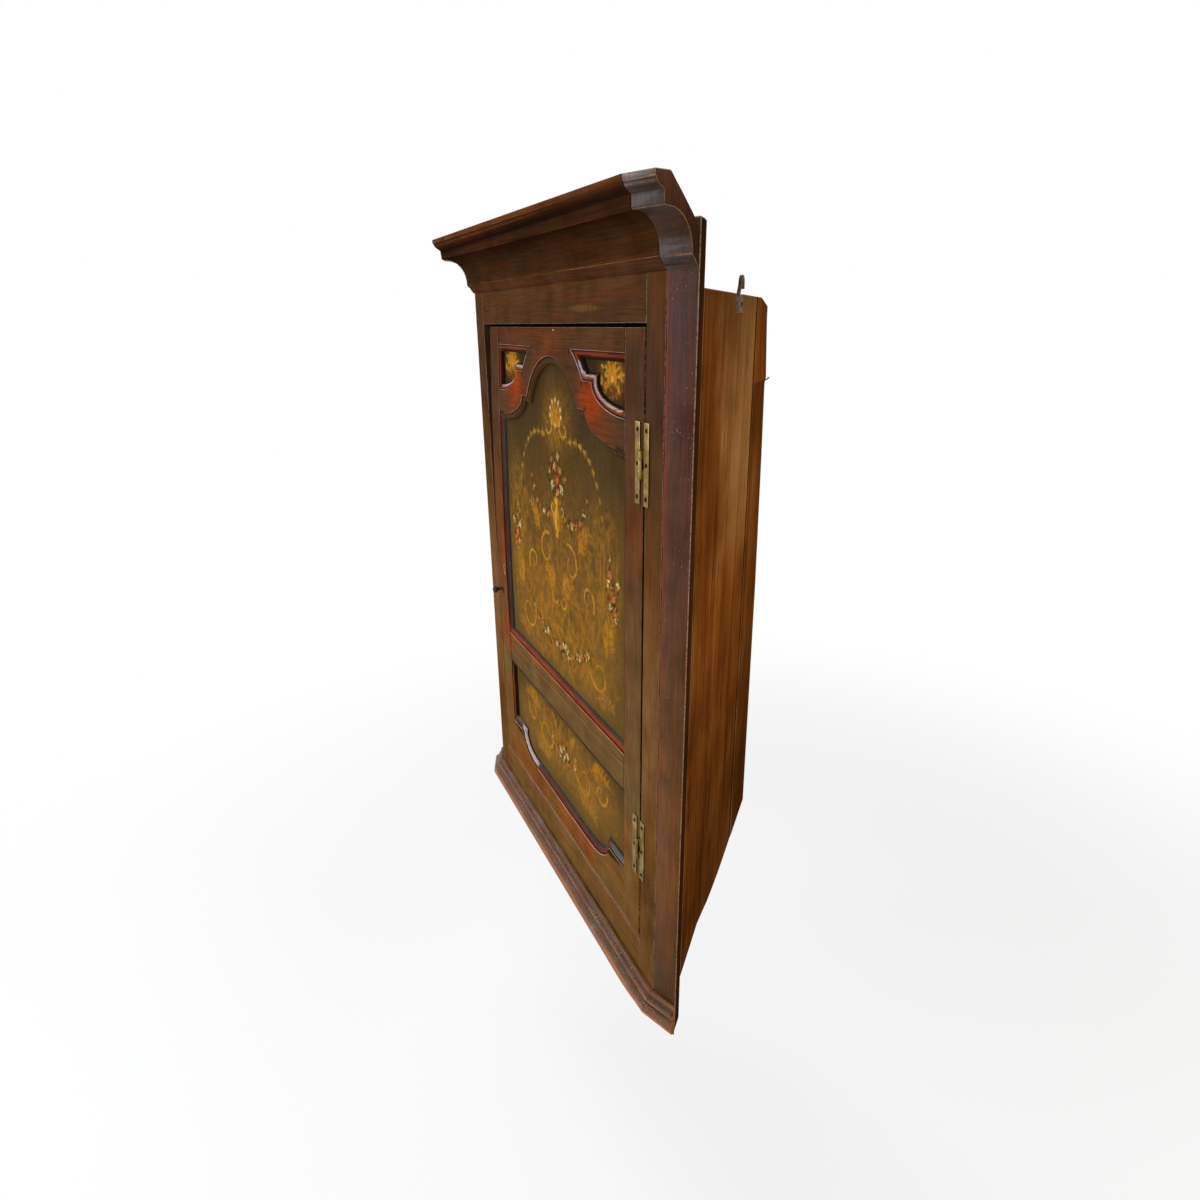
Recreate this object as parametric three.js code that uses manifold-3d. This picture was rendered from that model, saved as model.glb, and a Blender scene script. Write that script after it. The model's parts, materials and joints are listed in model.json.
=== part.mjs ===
import * as THREE from 'three';
import { mergeVertices } from 'three/addons/utils/BufferGeometryUtils.js';
import Module from 'manifold-3d';

// A hanging corner cupboard in painted oak: a face frame with canted corners, plain board sides in
// the two wall planes, a moulded cornice and base, and a framed door with an arched upper panel.
// X runs along the front, Y back into the corner, Z up. Lengths are millimetres. The origin is on
// the line where the two walls meet, level with the foot of the face frame.

// Front: a face between two arrises, and a canted board from each arris to its wall
const faceWidth = 720;
const cantWidth = 42.7;
const cantAngle = THREE.MathUtils.degToRad( 21.2 );
const frameThickness = 24;
const frameHeight = 1096;
const frameTenonThickness = 8;
const frameTenonLength = 28;
const frameTenonShoulder = 12;

// The door's opening, between the stiles and rails of the face frame
const frameStileWidth = 44.5;
const frameRailWidth = 100;
const openingBottom = 106;

// Clearances
const fit = 0.3;
const hingeGap = 2;
const latchGap = 5;
const topGap = 4.5;
const bottomGap = 2.5;
const overrun = 5;
const weld = 0.001;

// Sides: boards in the wall planes, which taper upwards and end above the foot of the frame
const sideThickness = 16;
const sideTopDrop = 65.5;
const sideFrontFoot = 80;
const sideRearFoot = 38;
const seamTopGap = 175.4;
const seamFootGap = 135.4;
const rearEdgeTopGap = 78.4;
const rearEdgeMiddleGap = 26.4;
const rearEdgeFootGap = 2.4;
const rearCornerDrop = 11;
const rearCornerRun = 60;
const postRearHalf = 20;
const postDepth = 40;
const postDrop = 14;

// Boards inside
const boardThickness = 18;
const bottomBoardStand = 9;
const topBoardLift = 4;
const lowerShelfRise = 278;
const upperShelfDrop = 306;
const shelfSetback = 52;
const shelfSweep = 34;
const cleatThickness = 18;
const cleatHeight = 22;
const cleatStart = 70;
const cleatEnd = 330;
const bottomCleatStart = 215;

// Cornice, sprung across the top of the frame
const corniceLap = 48;
const corniceBeadHeight = 13;
const corniceBeadProjection = 10.5;
const coveFoot = 15;
const coveHeight = 38.5;
const coveDepth = 29.5;
const soffitDepth = 7.5;
const coronaHeight = 14.5;
const cymaHeight = 9;
const cymaReach = 11.3;
const topQuirk = 1.5;
const topFilletHeight = 6;
const corniceTopWidth = 20;
const corniceBackRise = 37.5;
const corniceEndSlopeShare = - 0.19;

// Base moulding
const baseHeight = 51;
const baseProjection = 23;
const baseBeadRadius = 4;
const baseNeckShare = 0.3;
const baseFootShare = 0.7;

// Door frame and its panels
const doorThickness = 22;
const doorStileWidth = 51.5;
const doorTopRailWidth = 29;
const spandrelStepHeight = 38.5;
const spandrelStepLap = 24;
const bandWidth = 36.4;
const lobeBandWidth = 41;
const archHalfWidth = 109;
const archRise = 67;
const archCrown = 12;
const archShoulder = 25;
const lockRailBottom = 343.5;
const lockRailWidth = 59.5;
const shoulderHeight = 90.5;
const shoulderWidth = 57;
const sweepWidth = 74;
const lowerRailWidth = 47.5;
const stickingWidth = 12;
const stickingDepth = 9;
const stickingQuirk = 2;
const quirkWidth = 1.5;
const arris = 0.4;
const panelThickness = 8;
const grooveDepth = 8;
const tongueClearance = 1;
const doorTenonLength = 34;
const tenonShoulder = 8;

// Brass hinges in the form of an H, with their knuckles on the face
const hingeLength = 100;
const hingeUpperDrop = 205.5;
const hingeLowerRise = 117.5;
const leafWidth = 11.5;
const leafThickness = 1.6;
const knuckleRadius = 3;
const knuckleShare = 0.34;
const knuckleCount = 3;
const knuckleGap = 0.4;
const pinRadius = 1.4;
const pinClearance = 0.1;
const pinHeadRadius = 2.2;
const pinHeadHeight = 1.5;
const leafInset = 5.5;
const screwHoleRadius = 1.7;
const screwHeadRadius = 3.1;
const screwEdge = 9;

// Knob on the left stile, with its spindle and the turn button that it carries inside
const knobDrop = 29;
const knobRadius = 7;
const knobLength = 20;
const knobNeckRadius = 3.2;
const knobCollarRadius = 6;
const spindleRadius = 3;
const knobInset = 20;
const buttonLength = 42;
const buttonWidth = 14;
const buttonThickness = 6;
const buttonHubRadius = 8;
const buttonGap = 2.5;

// Rim lock inside the left stile
const lockRise = 145;
const lockWidth = 56;
const lockTall = 60;
const lockDepth = 14;
const lockInset = 3;
const boltHeight = 12;
const boltThickness = 6;
const boltLength = 44;
const boltSet = 3.5;
const boltLift = 12;
const keyholeInset = 42;
const keyholeDrop = 7;
const keyholeFloor = 2;
const keyholeRadius = 4;
const keyholeSlotWidth = 3.4;
const keyholeSlotLength = 10;
const escutcheonWall = 2.2;
const escutcheonStand = 0.6;
const escutcheonDepth = 2;

// Iron hanging hooks, let into the sides near the top
const hookAlong = 236;
const hookPlateWidth = 52;
const hookPlateHeight = 20;
const hookThickness = 2.6;
const hookPlateDrop = 22;
const hookStemWidth = 6.5;
const hookStemThickness = 4.4;
const hookStemLean = 10;
const hookStemRise = 13.5;
const hookCurlRadius = 12;
const hookTipDrop = 5;
const nailShankRadius = 1.6;
const nailLength = 14;
const nailHeadRadius = 4;
const nailHeadHeight = 1.8;
const nailSpread = 16;

// Finishes
const oakPaint = { color: 0x4a3020, roughness: 0.55, metalness: 0 };
const panelPaint = { color: 0x57461f, roughness: 0.5, metalness: 0 };
const bareOak = { color: 0x80501f, roughness: 0.8, metalness: 0 };
const brass = { color: 0xb08f3a, roughness: 0.35, metalness: 1 };
const iron = { color: 0x3a3029, roughness: 0.6, metalness: 0.9 };

const wasm = await Module();
wasm.setup();

// Sizes that follow from the ones above
const halfFace = faceWidth / 2;
const openingHalf = halfFace - frameStileWidth;
const openingTop = frameHeight - frameRailWidth;
const cantAlong = { x: Math.cos( cantAngle ), y: Math.sin( cantAngle ) };
const cantEnd = { x: halfFace + cantWidth * cantAlong.x, y: cantWidth * cantAlong.y };
const cornerDepth = cantEnd.x + cantEnd.y;
const wallLength = cantEnd.x * Math.SQRT2;
const sideTop = frameHeight - sideTopDrop;
const corniceFoot = frameHeight - corniceLap;
const mitreShare = Math.tan( cantAngle / 2 );
const mitreInner = { x: halfFace - frameThickness * mitreShare, y: frameThickness };
const innerDepth = cornerDepth - ( sideThickness + fit ) * Math.SQRT2;
const toWall = ( cornerDepth - mitreInner.x - mitreInner.y ) / ( cantAlong.x + cantAlong.y );
const toSide = ( innerDepth - mitreInner.x - mitreInner.y ) / ( cantAlong.x + cantAlong.y );
const cantBack = { x: mitreInner.x + toWall * cantAlong.x, y: mitreInner.y + toWall * cantAlong.y };
const insideCorner = { x: mitreInner.x + toSide * cantAlong.x, y: mitreInner.y + toSide * cantAlong.y };
const cantEdge = ( cantBack.y - cantEnd.y ) * Math.SQRT2;
const cantLeanShare = ( cantAlong.x - cantAlong.y ) / ( cantAlong.x + cantAlong.y );
const postRear = innerDepth - postRearHalf;
const postFront = postRear - postDepth;
const doorFront = fit;
const doorBack = doorFront + doorThickness;
const doorBottom = openingBottom + bottomGap;
const doorTop = openingTop - topGap;
const doorRight = openingHalf - hingeGap;
const doorLeft = latchGap - openingHalf;
const panelHalf = doorRight - doorStileWidth;
const spandrelTop = doorTop - doorTopRailWidth;
const spandrelFoot = spandrelTop - archCrown - archRise;
const spandrelStep = spandrelFoot + spandrelStepHeight;
const lobeFoot = spandrelFoot - lobeBandWidth;
const lobeWidth = panelHalf - archShoulder - archHalfWidth;
const spandrelStepInset = lobeWidth - spandrelStepLap;
const archRadius = ( archHalfWidth ** 2 + archRise ** 2 ) / ( 2 * archRise );
const archCentre = spandrelFoot + archRise - archRadius;
const lockRailTop = lockRailBottom + lockRailWidth;
const lockHeight = lockRailTop + lockRise;
const shoulder = doorBottom + shoulderHeight;
const lowerRailTop = doorBottom + lowerRailWidth;
const panelFront = doorFront + stickingDepth;

// Points, curves and outlines
const point = ( x, y ) => new THREE.Vector2( x, y );
const right = 1;
const left = - 1;
const archSteps = 14;
const lobeSteps = 8;
const beadSteps = 3;
const roundSteps = 16;
const ovoloSteps = 5;

function ellipsePart( centre, width, height, from, to, steps ) {

  return Array.from( { length: steps + 1 }, ( unused, step ) => {

    const angle = from + ( to - from ) * step / steps;
    return point( centre.x + width * Math.cos( angle ), centre.y + height * Math.sin( angle ) );

  } );

}

function rectangle( low, high ) {

  return [ low, point( high.x, low.y ), high, point( low.x, high.y ) ];

}

// A right-hand half, from foot to head, and its mirror image as one loop
function withMirror( rightHalf ) {

  const offCentre = rightHalf.filter( ( spot ) => spot.x > weld );
  return [ ...rightHalf, ...onSideOf( left, offCentre ).reverse() ];

}

function onSideOf( side, outline ) {

  return outline.map( ( spot ) => point( side * spot.x, spot.y ) );

}

// Placings: a plan drawing, an elevation of the front, and an elevation of either wall
const inPlan = ( spot, height ) => new THREE.Vector3( spot.x, spot.y, height );
const inFront = ( spot, depth ) => new THREE.Vector3( spot.x, depth, spot.y );

function inWall( side ) {

  return ( spot, depth ) => new THREE.Vector3(
    side * ( cantEnd.x - ( spot.x + depth ) * Math.SQRT1_2 ),
    cantEnd.y + ( spot.x - depth ) * Math.SQRT1_2,
    spot.y
  );

}

// Solids: a closed mesh with its faces turned outwards
function faceOutwards( corners ) {

  let volume = 0;
  for ( let index = 0; index < corners.length; index += 3 ) {

    const [ a, b, c ] = corners.slice( index, index + 3 );
    volume += a.dot( b.clone().cross( c ) );

  }

  const turned = volume < 0 ? [ ...corners ].reverse() : corners;
  const geometry = new THREE.BufferGeometry().setFromPoints( turned );
  geometry.computeVertexNormals();
  return geometry;

}

// A body through outlines with as many points each, one after the other, closed at both ends
function loft( outlines, placings ) {

  const turnOver = THREE.ShapeUtils.isClockWise( outlines[ 0 ] );
  const rings = outlines.map( ( outline, index ) => {

    const ring = outline.map( placings[ index ] );
    return turnOver ? ring.reverse() : ring;

  } );
  const flats = outlines.map( ( outline ) => turnOver ? [ ...outline ].reverse() : outline );
  const corners = [];
  for ( let index = 1; index < rings.length; index ++ ) {

    const near = rings[ index - 1 ];
    const far = rings[ index ];
    near.forEach( ( spot, turn ) => {

      const next = ( turn + 1 ) % near.length;
      corners.push( spot, near[ next ], far[ next ], spot, far[ next ], far[ turn ] );

    } );

  }

  const last = rings.length - 1;
  for ( const [ a, b, c ] of THREE.ShapeUtils.triangulateShape( flats[ 0 ], [] ) ) {

    corners.push( rings[ 0 ][ c ], rings[ 0 ][ b ], rings[ 0 ][ a ] );

  }

  for ( const [ a, b, c ] of THREE.ShapeUtils.triangulateShape( flats[ last ], [] ) ) {

    corners.push( rings[ last ][ a ], rings[ last ][ b ], rings[ last ][ c ] );

  }

  return faceOutwards( corners );

}

function extrude( outline, placing, from, to ) {

  return loft( [ outline, outline ], [ from, to ].map( ( reach ) => ( spot ) => placing( spot, reach ) ) );

}

function turned( profile, steps ) {

  return new THREE.LatheGeometry( profile, steps );

}

// Cutting and joining
function toSolid( geometry ) {

  const bare = geometry.clone();
  bare.deleteAttribute( 'normal' );
  bare.deleteAttribute( 'uv' );
  const welded = mergeVertices( bare, weld );
  return new wasm.Manifold( new wasm.Mesh( {
    numProp: 3,
    vertProperties: new Float32Array( welded.attributes.position.array ),
    triVerts: new Uint32Array( welded.index.array )
  } ) );

}

function toGeometry( solid ) {

  const { vertProperties, triVerts, numProp } = solid.getMesh();
  const geometry = new THREE.BufferGeometry();
  const positions = Array.from( triVerts ).flatMap( ( corner ) => {

    return [ 0, 1, 2 ].map( ( axis ) => vertProperties[ corner * numProp + axis ] );

  } );
  geometry.setAttribute( 'position', new THREE.Float32BufferAttribute( positions, 3 ) );
  geometry.computeVertexNormals();
  return geometry;

}

function cut( blank, ...cutters ) {

  const solid = cutters.reduce( ( rest, cutter ) => rest.subtract( toSolid( cutter ) ), toSolid( blank ) );
  return toGeometry( solid );

}

function join( first, ...others ) {

  return toGeometry( others.reduce( ( whole, other ) => whole.add( toSolid( other ) ), toSolid( first ) ) );

}

const cupboard = new THREE.Group();
cupboard.position.y = - cornerDepth;
const assembly = new THREE.Group();
assembly.add( cupboard );

function piece( name, geometry, finish, parent = cupboard ) {

  const mesh = new THREE.Mesh( geometry, new THREE.MeshStandardMaterial( finish ) );
  mesh.name = name;
  parent.add( mesh );
  return mesh;

}

const nameOf = ( side ) => ( side === right ? 'right' : 'left' );

// A tenon at the end of a rail, or with room round it the mortise for it
function tenon( from, to, low, high, front, thickness, room = 0 ) {

  const outline = rectangle( point( from, low - room ), point( to, high + room ) );
  return extrude( outline, inFront, front - room, front + thickness + room );

}

// Face frame: rails between stiles, and a canted board mitred to each stile
function faceFrame() {

  const rails = {
    frame_rail_top: [ openingTop, frameHeight ],
    frame_rail_bottom: [ 0, openingBottom ]
  };
  const tenonFront = ( frameThickness - frameTenonThickness ) / 2;
  const tenonInner = openingHalf - overrun;
  const tenonOuter = openingHalf + frameTenonLength;
  const mortises = [];
  for ( const [ name, [ low, high ] ] of Object.entries( rails ) ) {

    const outline = rectangle( point( fit - openingHalf, low ), point( openingHalf - fit, high ) );
    const ends = [ low + frameTenonShoulder, high - frameTenonShoulder, tenonFront, frameTenonThickness ];
    const tenons = [ right, left ].map( ( side ) => tenon( side * tenonInner, side * tenonOuter, ...ends ) );
    piece( name, join( extrude( outline, inFront, 0, frameThickness ), ...tenons ), oakPaint );
    mortises.push( ( side ) => tenon( side * tenonInner, side * ( tenonOuter + fit ), ...ends, fit ) );

  }

  for ( const side of [ right, left ] ) {

    const stile = onSideOf( side, [
      point( openingHalf, 0 ),
      point( halfFace - fit, 0 ),
      point( mitreInner.x - fit, frameThickness ),
      point( openingHalf, frameThickness )
    ] );
    const blank = extrude( stile, inPlan, 0, frameHeight );
    const rooms = mortises.map( ( room ) => room( side ) );
    piece( `frame_stile_${ nameOf( side ) }`, cut( blank, ...rooms ), oakPaint );

    const cant = onSideOf( side, [
      point( halfFace, 0 ),
      point( cantEnd.x, cantEnd.y ),
      point( cantBack.x, cantBack.y ),
      point( mitreInner.x, mitreInner.y )
    ] );
    piece( `cant_board_${ nameOf( side ) }`, extrude( cant, inPlan, 0, frameHeight ), oakPaint );

  }

}

// Sides: a wide board behind each canted board, and behind that a tapering one with a bevelled edge
function sideBoards() {

  const seamFoot = wallLength - seamFootGap;
  const seamAt = ( height ) => seamFoot + ( seamFootGap - seamTopGap ) * height / sideTop;
  const footDropShares = [
    [ 0.27, - 0.05 ],
    [ 0.36, 0.17 ],
    [ 0.46, 0.45 ],
    [ 0.57, 0.64 ],
    [ 0.71, 0.83 ],
    [ 0.87, 0.96 ]
  ];
  for ( const side of [ right, left ] ) {

    const boardAt = ( lean ) => {

      const front = cantEdge + fit + lean * cantLeanShare;
      const foot = footDropShares.map( ( [ share, drop ] ) => {

        const height = sideFrontFoot + ( sideRearFoot - sideFrontFoot ) * drop;
        return point( front + ( seamFoot - front ) * share, height );

      } );
      return [
        point( front, sideFrontFoot ),
        ...foot,
        point( seamAt( sideRearFoot ), sideRearFoot ),
        point( seamAt( sideTop ), sideTop ),
        point( front, sideTop )
      ];

    };

    const place = inWall( side );
    const placings = [ 0, sideThickness ].map( ( depth ) => ( spot ) => place( spot, depth ) );
    const board = loft( [ boardAt( 0 ), boardAt( sideThickness ) ], placings );
    const hook = hangingHook( side );
    piece( `side_board_${ nameOf( side ) }`, cut( board, ...hook.pockets ), bareOak );

    const rearAt = ( bevel ) => {

      const limit = wallLength - bevel;
      return [
        point( seamAt( sideRearFoot ) + fit, sideRearFoot ),
        point( limit - rearEdgeFootGap, sideRearFoot ),
        point( limit - rearEdgeMiddleGap, ( sideRearFoot + sideTop ) / 2 ),
        point( limit - rearEdgeTopGap, sideTop - rearCornerDrop ),
        point( limit - rearEdgeTopGap - rearCornerRun, sideTop ),
        point( seamAt( sideTop ) + fit, sideTop )
      ];

    };

    const rear = loft( [ rearAt( 0 ), rearAt( sideThickness ) ], placings );
    piece( `rear_board_${ nameOf( side ) }`, rear, bareOak );

  }

  const post = withMirror( [
    point( postRearHalf + postDepth, postFront ),
    point( postRearHalf, postRear )
  ] );
  piece( 'corner_post', extrude( post, inPlan, sideRearFoot + fit, sideTop - postDrop ), bareOak );

}

// Iron hooks near the tops of the sides, each a nailed plate with a leaning stem that curls over
function hangingHook( side ) {

  const plateTop = sideTop - hookPlateDrop + hookPlateHeight;
  const plateLow = point( hookAlong - hookPlateWidth / 2, sideTop - hookPlateDrop );
  const plateHigh = point( hookAlong + hookPlateWidth / 2, plateTop );
  const stemLow = point( hookAlong - hookStemWidth / 2, plateTop - overrun );
  const stemHigh = point( hookAlong + hookStemWidth / 2, sideTop + fit );
  const curlCentre = point( stemLow.x + hookStemLean + hookCurlRadius, plateTop + hookStemRise );
  const innerRadius = hookCurlRadius - hookStemWidth;
  const stem = [
    stemLow,
    point( stemHigh.x, stemLow.y ),
    stemHigh,
    ...ellipsePart( curlCentre, innerRadius, innerRadius, Math.PI, 0, lobeSteps ),
    point( curlCentre.x + innerRadius, curlCentre.y - hookTipDrop ),
    point( curlCentre.x + hookCurlRadius, curlCentre.y - hookTipDrop ),
    ...ellipsePart( curlCentre, hookCurlRadius, hookCurlRadius, 0, Math.PI, lobeSteps ),
    point( stemLow.x, stemHigh.y )
  ];
  const platePocket = rectangle(
    point( plateLow.x - fit, plateLow.y - fit ),
    point( plateHigh.x + fit, sideTop + overrun )
  );
  const stemPocket = rectangle(
    point( stemLow.x - fit, stemLow.y - fit ),
    point( stemHigh.x + fit, sideTop + overrun )
  );
  const place = inWall( side );
  const nailHeight = ( plateLow.y + plateTop ) / 2;
  const nailSpots = [ - nailSpread, nailSpread ].map( ( shift ) => point( hookAlong + shift, nailHeight ) );
  const holes = nailSpots.map( ( spot ) => {

    const shank = nailShankRadius + fit;
    const hole = ellipsePart( spot, shank, shank, 0, Math.PI * 2, lobeSteps ).slice( 1 );
    return extrude( hole, place, - overrun, nailLength + fit );

  } );
  const plate = extrude( rectangle( plateLow, plateHigh ), place, 0, hookThickness );
  const strap = join( plate, extrude( stem, place, 0, hookStemThickness ) );
  return {
    strap: cut( strap, ...holes ),
    pockets: [
      extrude( platePocket, place, - overrun, hookThickness + fit ),
      extrude( stemPocket, place, - overrun, hookStemThickness + fit ),
      ...holes
    ],
    nailSpots
  };

}

function hangingHooks() {

  for ( const side of [ right, left ] ) {

    const hook = hangingHook( side );
    const name = nameOf( side );
    piece( `hanging_hook_${ name }`, hook.strap, iron );
    hook.nailSpots.forEach( ( spot, index ) => {

      const profile = [
        point( 0, nailLength ),
        point( nailShankRadius, nailLength ),
        point( nailShankRadius, - fit ),
        point( nailHeadRadius, - fit ),
        point( nailHeadRadius / 2, - nailHeadHeight ),
        point( 0, - nailHeadHeight )
      ].reverse();
      const nail = piece( `hook_nail_${ name }_${ index + 1 }`, turned( profile, lobeSteps ), iron );
      const inward = new THREE.Vector3( - side, - 1, 0 ).normalize();
      nail.position.copy( inWall( side )( spot, 0 ) );
      nail.quaternion.setFromUnitVectors( new THREE.Vector3( 0, 1, 0 ), inward );

    } );

  }

}

// Boards that cross the inside, from the post to the face frame
function insideBoards() {

  const back = point( innerDepth - postFront, postFront - fit );
  const crossBoard = ( front ) => withMirror( [ ...front, back ] );
  const full = crossBoard( [
    point( mitreInner.x - fit, frameThickness + fit ),
    point( insideCorner.x - 2 * fit, insideCorner.y )
  ] );
  const bottomTop = openingBottom + bottomBoardStand;
  const topFoot = openingTop + topBoardLift;
  piece( 'bottom_board', extrude( full, inPlan, bottomTop - boardThickness, bottomTop ), bareOak );
  piece( 'top_board', extrude( full, inPlan, topFoot, topFoot + boardThickness ), bareOak );

  const sweepShares = [ [ 1, 0 ], [ 0.82, 0.55 ], [ 0.6, 1 ], [ 0.34, 0.6 ], [ 0, 0.15 ] ];
  const shelfFront = frameThickness + shelfSetback;
  const shelfHalf = innerDepth - shelfFront;
  const knots = sweepShares.map( ( [ across, inwards ] ) => {

    return point( shelfHalf * across, shelfFront + shelfSweep * inwards );

  } );
  const mirrored = knots.slice( 0, - 1 ).map( ( spot ) => point( - spot.x, spot.y ) ).reverse();
  const sweep = new THREE.SplineCurve( [ ...knots, ...mirrored ] ).getPoints( archSteps * 2 );
  const shelf = [ ...sweep, point( - back.x, back.y ), back ];
  const lowerShelfTop = openingBottom + lowerShelfRise;
  const upperShelfTop = openingTop - upperShelfDrop;
  const shelves = { lower: lowerShelfTop, upper: upperShelfTop };
  for ( const [ name, top ] of Object.entries( shelves ) ) {

    piece( `shelf_${ name }`, extrude( shelf, inPlan, top - boardThickness, top ), bareOak );

  }

  const cleatTops = {
    lower: [ lowerShelfTop - boardThickness, cleatStart ],
    upper: [ upperShelfTop - boardThickness, cleatStart ],
    bottom: [ bottomTop - boardThickness, bottomCleatStart ]
  };
  for ( const side of [ right, left ] ) {

    for ( const [ name, [ under, start ] ] of Object.entries( cleatTops ) ) {

      const outline = rectangle( point( start, under - fit - cleatHeight ), point( cleatEnd, under - fit ) );
      const inner = sideThickness + fit;
      const cleat = extrude( outline, inWall( side ), inner, inner + cleatThickness );
      piece( `cleat_${ name }_${ nameOf( side ) }`, cleat, bareOak );

    }

  }

}

// Mouldings: a profile of projection and height, run along the face and mitred at the arrises
const runs = {
  front: {
    start: point( - halfFace, 0 ),
    end: point( halfFace, 0 ),
    along: point( 1, 0 ),
    out: point( 0, - 1 )
  }
};
for ( const side of [ right, left ] ) {

  runs[ nameOf( side ) ] = {
    start: point( side * halfFace, 0 ),
    end: point( side * cantEnd.x, cantEnd.y ),
    along: point( side * cantAlong.x, cantAlong.y ),
    out: point( side * cantAlong.y, - cantAlong.x )
  };

}

function mouldingRun( profile, run, startShare, endShare ) {

  const place = ( end, share, gap ) => ( spot ) => {

    const reach = spot.x * share + gap;
    const x = end.x + run.out.x * spot.x + run.along.x * reach;
    const y = end.y + run.out.y * spot.x + run.along.y * reach;
    return new THREE.Vector3( x, y, spot.y );

  };
  const ends = [ place( run.start, startShare, fit ), place( run.end, endShare, - fit ) ];
  return loft( [ profile, profile ], ends );

}

function mouldingSet( name, profile, endShare, finish ) {

  piece( `${ name }_front`, mouldingRun( profile, runs.front, - mitreShare, mitreShare ), finish );
  piece( `${ name }_return_right`, mouldingRun( profile, runs.right, - mitreShare, endShare ), finish );
  piece( `${ name }_return_left`, mouldingRun( profile, runs.left, - mitreShare, endShare ), finish );

}

function cornice() {

  const coveCentre = point( corniceBeadProjection + coveDepth, corniceFoot + coveFoot );
  const coveTop = coveCentre.y + coveHeight;
  const coronaReach = coveCentre.x + soffitDepth;
  const coronaTop = coveTop + coronaHeight;
  const topFoot = coronaTop + cymaHeight + topQuirk;
  const topReach = coronaReach + cymaReach;
  const cymaShares = [ [ 0, 0 ], [ 0.2, 0.12 ], [ 0.5, 0.34 ], [ 0.78, 0.66 ], [ 0.86, 1 ] ];
  const beadShares = [ [ 0.14, 0 ], [ 0.42, 0.3 ], [ 0.62, 0.62 ], [ 0.88, 0.84 ], [ 1, 1 ] ];
  const profile = [
    point( fit, corniceFoot ),
    ...beadShares.map( ( [ out, up ] ) => {

      return point( corniceBeadProjection * out, corniceFoot + corniceBeadHeight * up );

    } ),
    ...ellipsePart( coveCentre, - coveDepth, coveHeight, 0, Math.PI / 2, lobeSteps ),
    point( coronaReach - fit, coveTop + fit ),
    ...cymaShares.map( ( [ out, up ] ) => {

      return point( coronaReach + cymaReach * out, coronaTop + cymaHeight * up );

    } ),
    point( topReach, topFoot ),
    point( topReach, topFoot + topFilletHeight ),
    point( topReach - corniceTopWidth, topFoot + topFilletHeight ),
    point( fit, corniceFoot + corniceBackRise )
  ];
  mouldingSet( 'cornice', profile, corniceEndSlopeShare, oakPaint );

}

function baseMoulding() {

  const bead = point( baseBeadRadius, baseHeight - baseBeadRadius );
  const neck = baseProjection * baseNeckShare;
  const shelfTop = baseHeight * baseFootShare;
  const hollowShares = [ [ 0, 1 ], [ 0.08, 0.55 ], [ 0.35, 0.2 ], [ 0.62, 0 ] ];
  const torus = point( neck, shelfTop / 2 );
  const [ torusReach, torusHalf ] = [ baseProjection - neck, torus.y - baseBeadRadius ];
  const profile = [
    point( baseBeadRadius * 2 + fit, bead.y ),
    ...ellipsePart( bead, baseBeadRadius, baseBeadRadius, 0, Math.PI / 2, beadSteps ).slice( 1 ),
    point( fit, baseHeight ),
    point( fit, 0 ),
    point( baseProjection * baseFootShare, 0 ),
    ...ellipsePart( torus, torusReach, torusHalf, - Math.PI / 2, Math.PI / 2, lobeSteps ),
    ...hollowShares.map( ( [ out, up ] ) => {

      return point( neck + torusReach * out * baseFootShare, shelfTop + ( bead.y - shelfTop ) * up );

    } ).reverse()
  ];
  mouldingSet( 'base_moulding', profile, cantLeanShare, oakPaint );

}

// Openings in the door frame, each drawn smaller by an inset
function upperOpening( inset ) {

  const centre = point( panelHalf, spandrelFoot );
  const width = lobeWidth + inset;
  const height = lobeBandWidth + inset;
  const outer = inset > 0 ? Math.acos( inset / width ) : Math.PI / 2;
  const inner = inset > 0 ? Math.asin( inset / height ) : 0;
  const radius = archRadius - inset;
  const stepLevel = spandrelFoot - inset;
  const springing = Math.asin( ( stepLevel - archCentre ) / radius );
  const edge = panelHalf - inset;
  return withMirror( [
    point( edge, lockRailTop + inset ),
    ...( inset < 0 ? [ point( edge, lobeFoot - inset ) ] : [] ),
    ...ellipsePart( centre, - width, - height, outer, inner, lobeSteps ),
    ...( inset < 0 ? [ point( panelHalf - width, stepLevel ) ] : [] ),
    ...ellipsePart( point( 0, archCentre ), radius, radius, springing, Math.PI / 2, archSteps )
  ] );

}

function spandrelOpening( side, inset ) {

  const centre = point( panelHalf, spandrelStep );
  const width = spandrelStepInset - inset;
  const height = spandrelStepHeight - inset;
  const outer = inset > 0 ? Math.acos( inset / width ) : Math.PI / 2;
  const inner = inset > 0 ? 0 : Math.asin( - inset / height );
  const radius = archRadius + bandWidth + inset;
  const stepLevel = spandrelStep + inset;
  const head = spandrelTop - inset;
  const [ low, high ] = [ stepLevel, head ].map( ( level ) => Math.asin( ( level - archCentre ) / radius ) );
  const edge = panelHalf - inset;
  return onSideOf( side, [
    point( edge, head ),
    ...( inset < 0 ? [ point( edge, spandrelFoot + inset ) ] : [] ),
    ...ellipsePart( centre, - width, - height, outer, inner, lobeSteps ),
    ...( inset > 0 ? [ point( panelHalf - width, stepLevel ) ] : [] ),
    ...ellipsePart( point( 0, archCentre ), radius, radius, low, high, lobeSteps )
  ] );

}

function lowerOpening( inset ) {

  const centre = point( panelHalf - shoulderWidth - sweepWidth, shoulder );
  const width = sweepWidth - inset;
  const height = shoulder - lowerRailTop - inset;
  const last = inset > 0 ? 0 : Math.asin( inset / height );
  const level = shoulder + inset;
  const edge = panelHalf - inset;
  return withMirror( [
    ...ellipsePart( centre, width, height, - Math.PI / 2, last, lobeSteps ),
    ...( inset > 0 ? [ point( centre.x + width, level ) ] : [] ),
    point( edge, level ),
    point( edge, lockRailBottom - inset )
  ] );

}

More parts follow.
